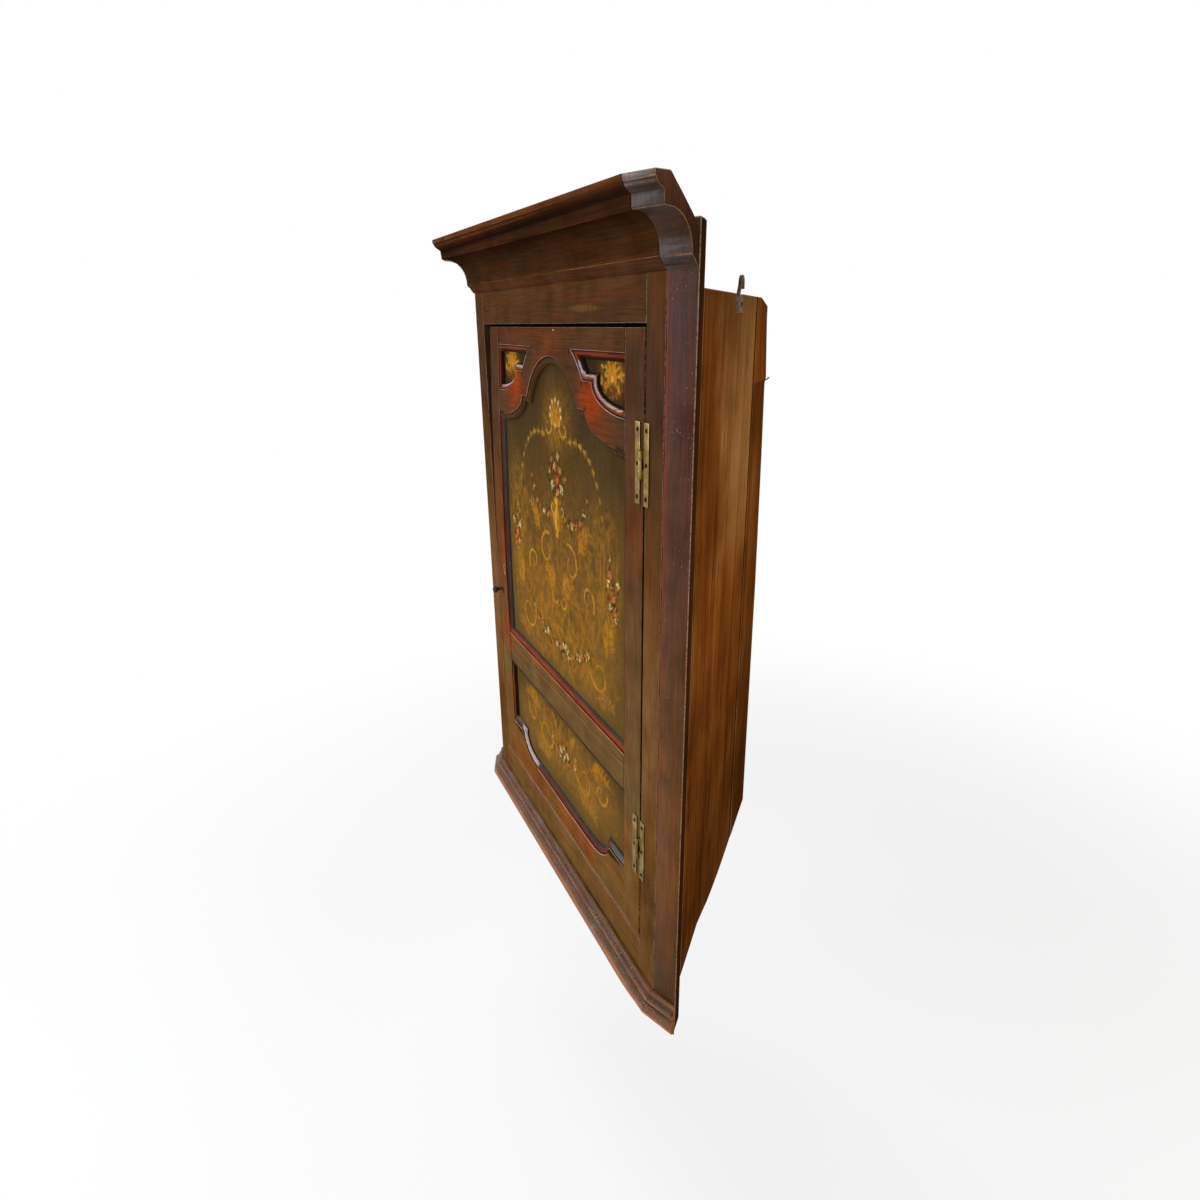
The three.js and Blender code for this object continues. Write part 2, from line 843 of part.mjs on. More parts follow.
// What is cut from the door frame round an opening: its moulded edge, and the panel's groove
function openingCutters( opening ) {

  const stations = [ [ - overrun, arris ], [ stickingQuirk, arris ], [ stickingQuirk, quirkWidth ] ];
  for ( let step = 1; step <= ovoloSteps; step ++ ) {

    const angle = Math.PI / 2 * step / ovoloSteps;
    stations.push( [
      stickingQuirk + ( stickingDepth - stickingQuirk ) * ( 1 - Math.cos( angle ) ),
      quirkWidth + ( stickingWidth - quirkWidth ) * Math.sin( angle )
    ] );

  }

  stations.push( [ doorThickness + overrun, stickingWidth ] );
  const outlines = stations.map( ( [ , inset ] ) => opening( inset ) );
  const placings = stations.map( ( [ depth ] ) => ( spot ) => inFront( spot, doorFront + depth ) );
  const grooveBack = panelFront + panelThickness + 2 * fit;
  return [ loft( outlines, placings ), extrude( opening( - grooveDepth ), inFront, panelFront, grooveBack ) ];

}

function doorFrame() {

  const openings = {
    panel_upper: upperOpening,
    panel_lower: lowerOpening,
    spandrel_left: ( inset ) => spandrelOpening( left, inset ),
    spandrel_right: ( inset ) => spandrelOpening( right, inset )
  };
  const cutters = Object.values( openings ).flatMap( openingCutters );
  for ( const [ name, opening ] of Object.entries( openings ) ) {

    const front = panelFront + fit;
    const outline = opening( tongueClearance - grooveDepth );
    piece( `door_${ name }`, extrude( outline, inFront, front, front + panelThickness ), panelPaint );

  }

  const end = panelHalf - fit;
  const edge = end - stickingWidth;
  const rails = {
    top: [
      point( edge, lobeFoot - stickingWidth ),
      point( end, lobeFoot ),
      point( end, spandrelFoot ),
      point( edge, spandrelFoot + stickingWidth ),
      point( edge, spandrelTop - stickingWidth ),
      point( end, spandrelTop ),
      point( end, doorTop )
    ],
    lock: [
      point( edge, lockRailBottom - stickingWidth ),
      point( end, lockRailBottom ),
      point( end, lockRailTop ),
      point( edge, lockRailTop + stickingWidth )
    ],
    bottom: [
      point( end, doorBottom ),
      point( end, shoulder ),
      point( edge, shoulder + stickingWidth )
    ]
  };
  const clear = grooveDepth + fit;
  const tenonLevels = {
    top: [ [ lobeFoot + clear, spandrelFoot - clear ], [ spandrelTop + clear, doorTop - tenonShoulder ] ],
    lock: [ [ lockRailBottom + clear, lockRailTop - clear ] ],
    bottom: [ [ doorBottom + tenonShoulder, shoulder - clear ] ]
  };
  const mortises = { [ left ]: [], [ right ]: [] };
  for ( const [ name, outline ] of Object.entries( rails ) ) {

    const board = extrude( withMirror( outline ), inFront, doorFront, doorBack );
    const tenons = [];
    for ( const [ low, high ] of tenonLevels[ name ] ) {

      for ( const side of [ right, left ] ) {

        const inner = side * ( panelHalf - overrun );
        const outer = panelHalf + doorTenonLength;
        const size = [ low, high, panelFront + fit, panelThickness ];
        tenons.push( tenon( inner, side * outer, ...size ) );
        mortises[ side ].push( tenon( inner, side * ( outer + fit ), ...size, fit ) );

      }

    }

    piece( `door_rail_${ name }`, join( cut( board, ...cutters ), ...tenons ), oakPaint );

  }

  for ( const side of [ right, left ] ) {

    const outer = side === right ? doorRight : - doorLeft;
    const reaches = [
      [ spandrelTop, spandrelFoot ],
      [ lobeFoot, lockRailTop ],
      [ lockRailBottom, shoulder ]
    ];
    const inner = reaches.flatMap( ( [ high, low ] ) => [
      point( panelHalf, high ),
      point( panelHalf - stickingWidth, high - stickingWidth ),
      point( panelHalf - stickingWidth, low + stickingWidth ),
      point( panelHalf, low )
    ] );
    const outline = [
      point( outer, doorBottom ),
      point( outer, doorTop ),
      point( panelHalf, doorTop ),
      ...inner,
      point( panelHalf, doorBottom )
    ];
    const board = extrude( onSideOf( side, outline ), inFront, doorFront, doorBack );
    const fittings = side === left ? lockStileCuts() : [];
    const stile = cut( board, ...cutters, ...mortises[ side ], ...fittings );
    piece( `door_stile_${ nameOf( side ) }`, stile, oakPaint );

  }

}

// Round pieces about an upright or a fore-and-aft axis
function disc( centre, radius ) {

  return ellipsePart( centre, radius, radius, 0, Math.PI * 2, roundSteps ).slice( 1 );

}

function turnedAlong( placing, centre, profile ) {

  return loft(
    profile.map( ( [ , radius ] ) => disc( centre, radius ) ),
    profile.map( ( [ reach ] ) => ( spot ) => placing( spot, reach ) )
  );

}

// H-hinges: the frame leaf has the outer knuckles, the door leaf the middle one
function hinges() {

  const feet = { upper: doorTop - hingeUpperDrop, lower: doorBottom + hingeLowerRise };
  const knuckleFoot = hingeLength * ( 1 - knuckleShare ) / 2;
  const pitch = hingeLength * knuckleShare / knuckleCount;
  const knuckle = ( index ) => {

    const low = knuckleFoot + pitch * index;
    return [ low, low + pitch - knuckleGap ];

  };

  const axis = point( 0, 0 );
  const leafFront = knuckleRadius - leafThickness;

  function leaf( side, knuckles ) {

    const plate = ( from, to, low, high ) => {

      const outline = rectangle( point( side * from, low ), point( side * to, high ) );
      return extrude( outline, inFront, leafFront, knuckleRadius );

    };

    const webs = knuckles.map( ( [ low, high ] ) => plate( 0, leafInset + fit, low, high ) );
    const barrels = knuckles.map( ( [ low, high ] ) => turnedAlong( inPlan, axis, [
      [ low, knuckleRadius ],
      [ high, knuckleRadius ]
    ] ) );
    const bore = turnedAlong( inPlan, axis, [
      [ - overrun, pinRadius + pinClearance ],
      [ hingeLength + overrun, pinRadius + pinClearance ]
    ] );
    const middle = side * ( leafInset + leafWidth / 2 );
    const holes = [ screwEdge, hingeLength / 2, hingeLength - screwEdge ].map( ( level ) => {

      return turnedAlong( inFront, point( middle, level ), [
        [ leafFront - fit, screwHeadRadius ],
        [ leafFront + leafThickness / 2, screwHoleRadius ],
        [ knuckleRadius + fit, screwHoleRadius ]
      ] );

    } );
    const strip = plate( leafInset, leafInset + leafWidth, 0, hingeLength );
    return cut( join( strip, ...webs, ...barrels ), bore, ...holes );

  }

  const [ first, second, third ] = [ 0, 1, 2 ].map( knuckle );
  const pinProfile = [
    [ first[ 0 ] - fit - pinHeadHeight, pinRadius ],
    [ first[ 0 ] - fit - pinHeadHeight / 2, pinHeadRadius ],
    [ first[ 0 ] - fit, pinHeadRadius ],
    [ first[ 0 ] - fit, pinRadius ],
    [ third[ 1 ] + fit, pinRadius ],
    [ third[ 1 ] + fit, pinHeadRadius ],
    [ third[ 1 ] + fit + pinHeadHeight / 2, pinHeadRadius ],
    [ third[ 1 ] + fit + pinHeadHeight, pinRadius ]
  ];
  for ( const [ name, foot ] of Object.entries( feet ) ) {

    const hinge = new THREE.Group();
    hinge.position.set( doorRight - knuckleRadius, - fit - knuckleRadius, foot );
    cupboard.add( hinge );
    piece( `hinge_${ name }_frame_leaf`, leaf( right, [ first, third ] ), brass, hinge );
    piece( `hinge_${ name }_door_leaf`, leaf( left, [ second ] ), brass, hinge );
    piece( `hinge_${ name }_pin`, turnedAlong( inPlan, axis, pinProfile ), iron, hinge );

  }

}

// Knob, lock and what they need cut in the left stile
const spindle = point( doorLeft + knobInset, lockHeight - lockTall / 2 - knobDrop );
const keyhole = point( doorLeft + keyholeInset, lockHeight - keyholeDrop );

function keyholeOutline( grow ) {

  const radius = keyholeRadius + grow;
  const half = keyholeSlotWidth / 2 + grow;
  const lean = Math.asin( half / radius );
  const foot = keyhole.y - keyholeRadius - keyholeSlotLength - grow;
  const start = lean - Math.PI / 2;
  return [
    ...ellipsePart( keyhole, radius, radius, start, Math.PI * 2 - Math.PI / 2 - lean, lobeSteps ),
    point( keyhole.x - half, foot ),
    point( keyhole.x + half, foot )
  ];

}

function lockStileCuts() {

  const bore = spindleRadius + fit;
  return [
    turnedAlong( inFront, spindle, [ [ - overrun, bore ], [ doorBack + overrun, bore ] ] ),
    extrude( keyholeOutline( 0 ), inFront, - overrun, doorBack + overrun ),
    extrude( keyholeOutline( escutcheonWall + fit ), inFront, - overrun, doorFront + escutcheonDepth + fit )
  ];

}

function knobAndButton() {

  const buttonFront = doorBack + buttonGap;
  const buttonBack = buttonFront + buttonThickness;
  const headShares = [ [ 1, 0.6 ], [ 0.82, 1 ], [ 0.68, 1 ], [ 0.56, 0.62 ] ];
  const [ neckShare, neckFootShare, collarShare ] = [ 0.4, 0.14, 0.06 ];
  const profile = [
    ...headShares.map( ( [ out, wide ] ) => [ - knobLength * out, knobRadius * wide ] ),
    [ - knobLength * neckShare, knobNeckRadius ],
    [ - knobLength * neckFootShare, knobNeckRadius ],
    [ - knobLength * collarShare, knobCollarRadius ],
    [ 0, knobCollarRadius ],
    [ 0, spindleRadius ],
    [ buttonBack, spindleRadius ]
  ];
  piece( 'knob', turnedAlong( inFront, spindle, profile ), iron );

  const half = buttonWidth / 2;
  const tip = point( spindle.x, spindle.y - buttonLength + half );
  const arm = [
    point( spindle.x - half, spindle.y ),
    ...ellipsePart( tip, half, half, Math.PI, Math.PI * 2, lobeSteps ),
    point( spindle.x + half, spindle.y )
  ];
  const hub = turnedAlong( inFront, spindle, [
    [ doorBack + fit, buttonHubRadius ],
    [ buttonBack, buttonHubRadius ]
  ] );
  const hole = spindleRadius + fit;
  const eye = turnedAlong( inFront, spindle, [ [ 0, hole ], [ buttonBack + overrun, hole ] ] );
  const button = cut( join( hub, extrude( arm, inFront, buttonFront, buttonBack ) ), eye );
  piece( 'turn_button', button, bareOak );

}

function rimLock() {

  const caseLeft = doorLeft + lockInset;
  const caseFront = doorBack + fit;
  const outline = rectangle(
    point( caseLeft, lockHeight - lockTall / 2 ),
    point( caseLeft + lockWidth, lockHeight + lockTall / 2 )
  );
  const boltFront = doorBack + boltSet;
  const boltFoot = lockHeight + boltLift - boltHeight / 2;
  const bolt = ( room ) => extrude(
    rectangle(
      point( caseLeft - room * overrun, boltFoot - room ),
      point( caseLeft + boltLength + room, boltFoot + boltHeight + room )
    ),
    inFront,
    boltFront - room,
    boltFront + boltThickness + room
  );
  const keyway = extrude( keyholeOutline( 0 ), inFront, 0, caseFront + lockDepth - keyholeFloor );
  const shell = extrude( outline, inFront, caseFront, caseFront + lockDepth );
  piece( 'lock_case', cut( shell, bolt( fit ), keyway ), iron );
  piece( 'lock_bolt', bolt( 0 ), iron );

  const ringBack = doorFront + escutcheonDepth;
  const ring = extrude( keyholeOutline( escutcheonWall ), inFront, - escutcheonStand, ringBack );
  const eye = extrude( keyholeOutline( 0 ), inFront, - overrun, doorBack );
  piece( 'escutcheon', cut( ring, eye ), brass );

}

faceFrame();
sideBoards();
hangingHooks();
insideBoards();
cornice();
baseMoulding();
doorFrame();
hinges();
knobAndButton();
rimLock();

export default assembly;
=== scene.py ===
import math

import bmesh
import bpy
import numpy as np
from mathutils import Matrix, Vector, noise
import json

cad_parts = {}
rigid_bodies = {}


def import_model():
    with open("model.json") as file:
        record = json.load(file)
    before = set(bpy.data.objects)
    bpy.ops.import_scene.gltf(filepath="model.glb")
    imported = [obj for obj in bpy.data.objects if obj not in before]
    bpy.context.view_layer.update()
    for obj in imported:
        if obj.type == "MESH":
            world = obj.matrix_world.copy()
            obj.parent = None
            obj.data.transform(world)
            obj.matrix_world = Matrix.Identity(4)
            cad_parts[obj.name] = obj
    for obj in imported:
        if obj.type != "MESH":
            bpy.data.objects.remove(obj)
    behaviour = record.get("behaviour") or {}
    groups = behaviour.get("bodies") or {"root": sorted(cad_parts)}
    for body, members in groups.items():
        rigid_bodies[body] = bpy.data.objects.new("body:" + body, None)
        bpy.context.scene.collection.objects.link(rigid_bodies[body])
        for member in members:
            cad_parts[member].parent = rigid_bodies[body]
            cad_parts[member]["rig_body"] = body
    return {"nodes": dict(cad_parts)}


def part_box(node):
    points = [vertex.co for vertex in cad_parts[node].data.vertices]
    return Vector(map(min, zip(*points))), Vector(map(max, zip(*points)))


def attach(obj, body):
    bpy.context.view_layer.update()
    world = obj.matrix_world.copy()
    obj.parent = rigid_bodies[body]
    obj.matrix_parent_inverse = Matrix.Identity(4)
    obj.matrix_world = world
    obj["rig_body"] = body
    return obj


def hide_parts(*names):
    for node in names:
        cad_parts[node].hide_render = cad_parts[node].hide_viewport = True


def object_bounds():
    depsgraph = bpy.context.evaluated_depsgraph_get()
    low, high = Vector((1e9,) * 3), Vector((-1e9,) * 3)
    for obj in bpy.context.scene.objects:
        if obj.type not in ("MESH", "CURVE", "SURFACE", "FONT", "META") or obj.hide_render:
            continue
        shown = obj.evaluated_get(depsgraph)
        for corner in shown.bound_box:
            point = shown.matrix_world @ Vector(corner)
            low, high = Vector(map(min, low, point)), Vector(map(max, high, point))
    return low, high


# A painted oak corner cupboard of about 1750, which hangs across the corner of a room.
# X runs right along its front, Y back into the corner and Z up. Metres throughout, unless a name says mm.

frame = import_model()
cadLow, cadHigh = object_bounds()
bpy.context.scene.view_settings.view_transform = "Standard"
mm = 0.001
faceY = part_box("frame_rail_top")[0].y      # the front face of the face frame
doorLow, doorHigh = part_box("door_stile_left")[0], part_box("door_stile_right")[1]
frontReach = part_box("cant_board_right")[1].x    # half the width of the front, at the walls
diagonal = math.sqrt(0.5)                       # the walls stand at 45 degrees to the front
sharpAngle = math.radians(28)                   # an edge that bends more is an arris or a hollow
print("frame loaded")


def addObject(name, data):
    made = bpy.data.objects.new(name, data)
    bpy.context.scene.collection.objects.link(made)
    return made


def evaluatedMesh(holder):
    return bpy.data.meshes.new_from_object(holder.evaluated_get(bpy.context.evaluated_depsgraph_get()))


# Camera: a wide lens close by, high up at the hinge side

camera = {
    "place": (1.11019, -0.84378, 0.99699),
    "turn": 65.181,
    "tilt": -20.274,
    "roll": -0.584,
    "lens": 22.532,
    "sensor": 36,
}


def makeCamera():
    data = bpy.data.cameras.new("camera")
    data.lens = camera["lens"]
    data.sensor_width = camera["sensor"]
    data.clip_start = 0.01
    eye = addObject("camera", data)
    turn = Matrix.Rotation(math.radians(camera["turn"]), 4, "Z")
    tilt = Matrix.Rotation(math.radians(90 + camera["tilt"]), 4, "X")
    roll = Matrix.Rotation(math.radians(camera["roll"]), 4, "Z")
    eye.matrix_world = Matrix.Translation(camera["place"]) @ turn @ tilt @ roll
    bpy.context.scene.camera = eye


makeCamera()


# Colours and nodes

def linear(hexColour):
    channels = [int(hexColour[i:i + 2], 16) / 255 for i in (1, 3, 5)]
    return [c / 12.92 if c <= 0.04045 else ((c + 0.055) / 1.055) ** 2.4 for c in channels] + [1.0]


def addNode(tree, kind, links=None, stops=None, **settings):
    node = tree.nodes.new(kind)
    for name, value in settings.items():
        setattr(node, name, value)
    for socket, value in (links or {}).items():
        if isinstance(value, bpy.types.NodeSocket):
            tree.links.new(value, node.inputs[socket])
        else:
            node.inputs[socket].default_value = value
    if stops:
        ramp = node.color_ramp
        ramp.elements.remove(ramp.elements[1])
        ramp.elements[0].position = stops[0][0]
        ramp.elements[0].color = linear(stops[0][1])
        for position, tint in stops[1:]:
            ramp.elements.new(position).color = linear(tint)
    return node


def startMaterial(name):
    material = bpy.data.materials.new(name)
    material.use_nodes = True
    material.node_tree.nodes.clear()
    return material, material.node_tree


# Lamps, world and floor: a soft room light, and a window in front that lays a sheen on the canted board

studio = {
    "domeStrength": 0.42,
    "floorDrop": 0.62,
    "floorReach": 16,
    "floorPaint": "#e9e9e9",
    "shadowShare": 0.45,
    "shadowEnd": (0.9, 2.6),        # the floor is shaded up to here, and plain white beyond
}
lamps = {
    "window": {"place": (-0.5, -3.2, 1.5), "aim": (0.1, -0.4, 0.7), "size": 1.5, "power": 58,
                  "tint": "#f2f7ff"},
    "leftWindow": {"place": (-2.5, -1.5, 1.9), "aim": (0, -0.4, 0.6), "size": 1.0, "power": 20,
                  "tint": "#eef4ff"},
    "sideLight": {"place": (2.7, 1.3, 1.7), "aim": (0.2, -0.2, 0.6), "size": 1.6, "power": 64,
                  "tint": "#fffaf2"},
    "topLight": {"place": (-0.6, -0.9, 3.4), "aim": (0, -0.2, 0.6), "size": 1.8, "power": 34,
                  "tint": "#ffffff"},
}


def seesBackground(tree):
    # camera, mirror and glass rays see the plain background instead of the light that falls on it
    path = addNode(tree, "ShaderNodeLightPath").outputs
    either = addNode(tree, "ShaderNodeMath",
                     {0: path["Is Camera Ray"], 1: path["Is Glossy Ray"]}, operation="MAXIMUM")
    return addNode(tree, "ShaderNodeMath",
                   {0: either.outputs[0], 1: path["Is Transmission Ray"]}, operation="MAXIMUM").outputs[0]


def makeStudio():
    world = bpy.data.worlds.new("softRoom")
    bpy.context.scene.world = world
    world.use_nodes = True
    tree = world.node_tree
    tree.nodes.clear()
    dome = addNode(tree, "ShaderNodeBackground", {"Strength": studio["domeStrength"]})
    dome.inputs["Color"].default_value = linear("#ffffff")
    white = addNode(tree, "ShaderNodeBackground", {"Strength": 1.0})
    white.inputs["Color"].default_value = linear("#ffffff")
    mix = addNode(tree, "ShaderNodeMixShader",
                  {0: seesBackground(tree), 1: dome.outputs[0], 2: white.outputs[0]})
    addNode(tree, "ShaderNodeOutputWorld", {0: mix.outputs[0]})

    for name, lamp in lamps.items():
        data = bpy.data.lights.new(name, "AREA")
        data.size = lamp["size"]
        data.energy = lamp["power"]
        data.color = linear(lamp["tint"])[:3]
        holder = addObject(name, data)
        holder.location = lamp["place"]
        aim = Vector(lamp["aim"]) - Vector(lamp["place"])
        holder.rotation_euler = aim.to_track_quat("-Z", "Y").to_euler()

    material, tree = startMaterial("paleFloor")
    plain = addNode(tree, "ShaderNodeBsdfDiffuse", {"Color": linear(studio["floorPaint"])})
    glow = addNode(tree, "ShaderNodeEmission", {"Color": linear("#ffffff"), "Strength": 1.0})
    spot = addNode(tree, "ShaderNodeTexCoord").outputs["Object"]
    level = -studio["floorDrop"]
    away = addNode(tree, "ShaderNodeVectorMath", {0: spot, 1: (0, 0, level)}, operation="DISTANCE")
    near, far = studio["shadowEnd"]
    fade = addNode(tree, "ShaderNodeMapRange",
                   {"Value": away.outputs["Value"], "From Min": near, "From Max": far,
                    "To Min": studio["shadowShare"], "To Max": 0.0}, interpolation_type="SMOOTHSTEP")
    shadowed = addNode(tree, "ShaderNodeMixShader",
                       {0: fade.outputs[0], 1: glow.outputs[0], 2: plain.outputs[0]})
    seen = addNode(tree, "ShaderNodeMixShader",
                   {0: seesBackground(tree), 1: plain.outputs[0], 2: shadowed.outputs[0]})
    addNode(tree, "ShaderNodeOutputMaterial", {0: seen.outputs[0]})
    reach = studio["floorReach"]
    corners = [(-reach, -reach, level), (reach, -reach, level), (reach, reach, level), (-reach, reach, level)]
    mesh = bpy.data.meshes.new("floor")
    mesh.from_pydata(corners, [], [(0, 1, 2, 3)])
    mesh.materials.append(material)
    floor = addObject("floor", mesh)


makeStudio()
print("camera, lamps and floor made")


# Old paint on oak: brushed on thin and varnished, so that the grain shows as ridges and the arrises are
# rubbed through to pale wood, while dirt and painted shade darken the quirks

paints = {
    # the face frame darkens towards the top: partly its paint, partly painted shade under the cornice
    "faceFramePaint": {"tints": [(0.09, "#694a25"), (0.18, "#583a1c"), (0.27, "#6b461f"), (0.36, "#714f2d"),
                                 (0.52, "#6a4927"), (0.6, "#5d3d20"), (0.67, "#50361c"), (0.8, "#432f21"),
                                 (0.88, "#49311f"), (0.95, "#54351a")],
                       "undercoat": 0.25, "specular": 0.0, "rubbed": "#9c8a72",
                       "leastWear": 0.75, "marks": [((140, 1015), (60, 6), "#7d5b28", 0.35)]},
    # the greyer tints high up are a painted sheen, the window's reflection; lower down it is the paint
    "cantPaint": {"tints": [(0.07, "#49331b"), (0.16, "#5e3819"), (0.25, "#6d4420"), (0.46, "#5c3c22"),
                            (0.65, "#513527"), (0.8, "#50342a"), (0.95, "#4b3933")],
                  "undercoat": 0.3, "specular": 0.05, "specks": (0.8, 0.89),
                  "rubbed": "#b3937a", "leastWear": 0.7,
                  "marks": [((side * 361.2, 780), (2.8, 520), "#842f1c", 0.75) for side in (-1, 1)]},
    "cornicePaint": {"tints": [(0.925, "#44291a"), (0.937, "#4c2f1a"), (0.942, "#3b2412"), (0.968, "#332110"),
                               (0.974, "#311d0e"), (0.984, "#351f0f"), (0.988, "#24150b"), (0.993, "#331c0e"),
                               (0.9955, "#4c2b15"), (1.0, "#5c3419")],
                     "undercoat": 0.1, "specular": 0.0, "leastWear": 0.08},
    # its grey and silvery bands are painted sheen; the brown cove between them is the paint
    "returnPaint": {"tints": [(0.922, "#3a2a22"), (0.934, "#40302a"), (0.938, "#524640"), (0.948, "#4f433d"),
                              (0.952, "#3b2619"), (0.97, "#3a2413"), (0.974, "#4d423d"), (0.984, "#544944"),
                              (0.988, "#2c1e16"), (0.992, "#5a4d46"), (1.0, "#80706a")],
                    "undercoat": 0.1, "specular": 0.12},
    # its orange lines are rubbed arrises; the dark grey band in the hollow is painted shade with painted
    # sheen
    "basePaint": {"tints": [(0.0, "#663f1e"), (0.004, "#9c5e28"), (0.008, "#79512e"),
                            (0.0175, "#785a40"), (0.0195, "#b0652e"), (0.021, "#6b4e35"),
                            (0.0285, "#4f4136"), (0.0303, "#c36f32"), (0.0312, "#9e5b2b"),
                            (0.0322, "#312823"), (0.0372, "#423832"), (0.0392, "#523c2d"),
                            (0.0404, "#c57841"), (0.0414, "#c77d43"), (0.0426, "#654429"),
                            (0.046, "#5c3e21")],
                  "undercoat": 0.2, "specular": 0.1, "rubbed": "#bb743e", "specks": (0.55, 0.77)},
    # the door darkens towards the top: partly its paint, partly painted shade under the cornice
    "doorPaint": {"tints": [(0.12, "#6b4d26"), (0.25, "#6f4e27"), (0.3, "#644f2e"), (0.37, "#6b4d2c"),
                            (0.53, "#5d4328"), (0.6, "#553d24"), (0.67, "#50351e"), (0.76, "#4f3725"),
                            (0.84, "#463222"), (0.87, "#52341e")],
                  "undercoat": 0.2, "specular": 0.0, "rubbed": "#b08468", "leastWear": 0.7,
                  "marks": [((21.6, 987.4), (3.2, 1.7), "#b5a999", 1.0),
                            ((doorHigh.x / mm - 0.3, 560), (2.6, 620), "#0d0805", 1.0),
                            ((0, doorLow.z / mm + 1.4), (470, 2.6), "#a5877b", 0.75)]},
    # the moulded edges take their colours from trim: paint and wear, with painted highlights, sheen and shade
    "mouldingPaint": {"tints": [(0.0, "#4a2c18"), (1.0, "#4a2c18")], "undercoat": 0.0, "specular": 0.01},
}
paintLook = {
    "streakAlong": 55 * mm,
    "streakAcross": 2.4 * mm,
    "mottleSize": 45 * mm,
    "undercoatAlong": 260 * mm,
    "undercoatAcross": 14 * mm,
    "chipSize": 3.2 * mm,
    "undercoat": "#7a2c12",
    "blush": "#93380f",
    "speckSize": 2.2 * mm,
    "speckGroup": 40 * mm,
    "speckGather": 0.3,                 # how much the specks keep together, and how many more are high up
    "speckRise": 0.05,
    "speckEdge": 0.03,
    "speck": "#a39a96",
    "markEdgeSize": 9 * mm,
    "markRagged": 1.6,
    "markFade": (1.25, 1.75),
    "streakTone": (0.72, 1.26),         # darkest and lightest
    "mottleTone": (0.78, 1.2),
    "undercoatCover": (0.5, 0.68),
    # how dark the hollows get from dirt and painted shade
    "soiling": 0.85,
    "chipEdge": (0.36, 0.56),
    "wornStretch": (0.42, 0.6),
    "leastWear": 0.5,
    "rubbedWood": "#a9764a",
    "rubbedRed": "#a33a1f",
    "dirt": "#150e09",
    "roughness": (0.36, 0.6),
    "ridge": 0.25 * mm,
}


def addSpecks(tree, place, height, ground, specks):
    # pale flecks where the paint has chipped, more of them high up
    look = paintLook
    share, least = specks
    fleck = addNode(tree, "ShaderNodeTexNoise",
                    {"Vector": place, "Scale": 1 / look["speckSize"], "Detail": 2.0,
                     "Roughness": 0.8}).outputs["Fac"]
    group = addNode(tree, "ShaderNodeTexNoise",
                    {"Vector": place, "Scale": 1 / look["speckGroup"], "Detail": 2.0}).outputs["Fac"]
    both = addNode(tree, "ShaderNodeMath",
                   {0: group, 1: look["speckGather"], 2: fleck}, operation="MULTIPLY_ADD").outputs[0]
    high = addNode(tree, "ShaderNodeMath",
                   {0: height, 1: look["speckRise"], 2: both}, operation="MULTIPLY_ADD").outputs[0]
    cover = addNode(tree, "ShaderNodeMapRange",
                    {"Value": high, "From Min": least, "From Max": least + look["speckEdge"],
                     "To Max": share}).outputs[0]
    return addNode(tree, "ShaderNodeMix",
                   {0: cover, 6: ground, 7: linear(look["speck"])}, data_type="RGBA").outputs[2]


def addMark(tree, place, ground, mark):
    # one smudge or chip on the front: its x and z, its reach in mm, its colour and how strong it is
    look = paintLook
    (x, z), (wide, tall), tint, strength = mark
    inside, outside = look["markFade"]
    off = addNode(tree, "ShaderNodeVectorMath",
                  {0: place, 1: (x * mm, 0, z * mm)}, operation="SUBTRACT").outputs[0]
    scaled = addNode(tree, "ShaderNodeVectorMath", {0: off, 1: (1 / (wide * mm), 0, 1 / (tall * mm))},
                     operation="MULTIPLY").outputs[0]
    away = addNode(tree, "ShaderNodeVectorMath", {0: scaled}, operation="LENGTH").outputs["Value"]
    ragged = addNode(tree, "ShaderNodeTexNoise",
                     {"Vector": place, "Scale": 1 / look["markEdgeSize"], "Detail": 4.0,
                      "Roughness": 0.7}).outputs["Fac"]
    edge = addNode(tree, "ShaderNodeMath",
                   {0: ragged, 1: look["markRagged"], 2: away}, operation="MULTIPLY_ADD").outputs[0]
    cover = addNode(tree, "ShaderNodeMapRange",
                    {"Value": edge, "From Min": inside, "From Max": outside,
                     "To Min": strength, "To Max": 0.0}).outputs[0]
    return addNode(tree, "ShaderNodeMix", {0: cover, 6: ground, 7: linear(tint)}, data_type="RGBA").outputs[2]


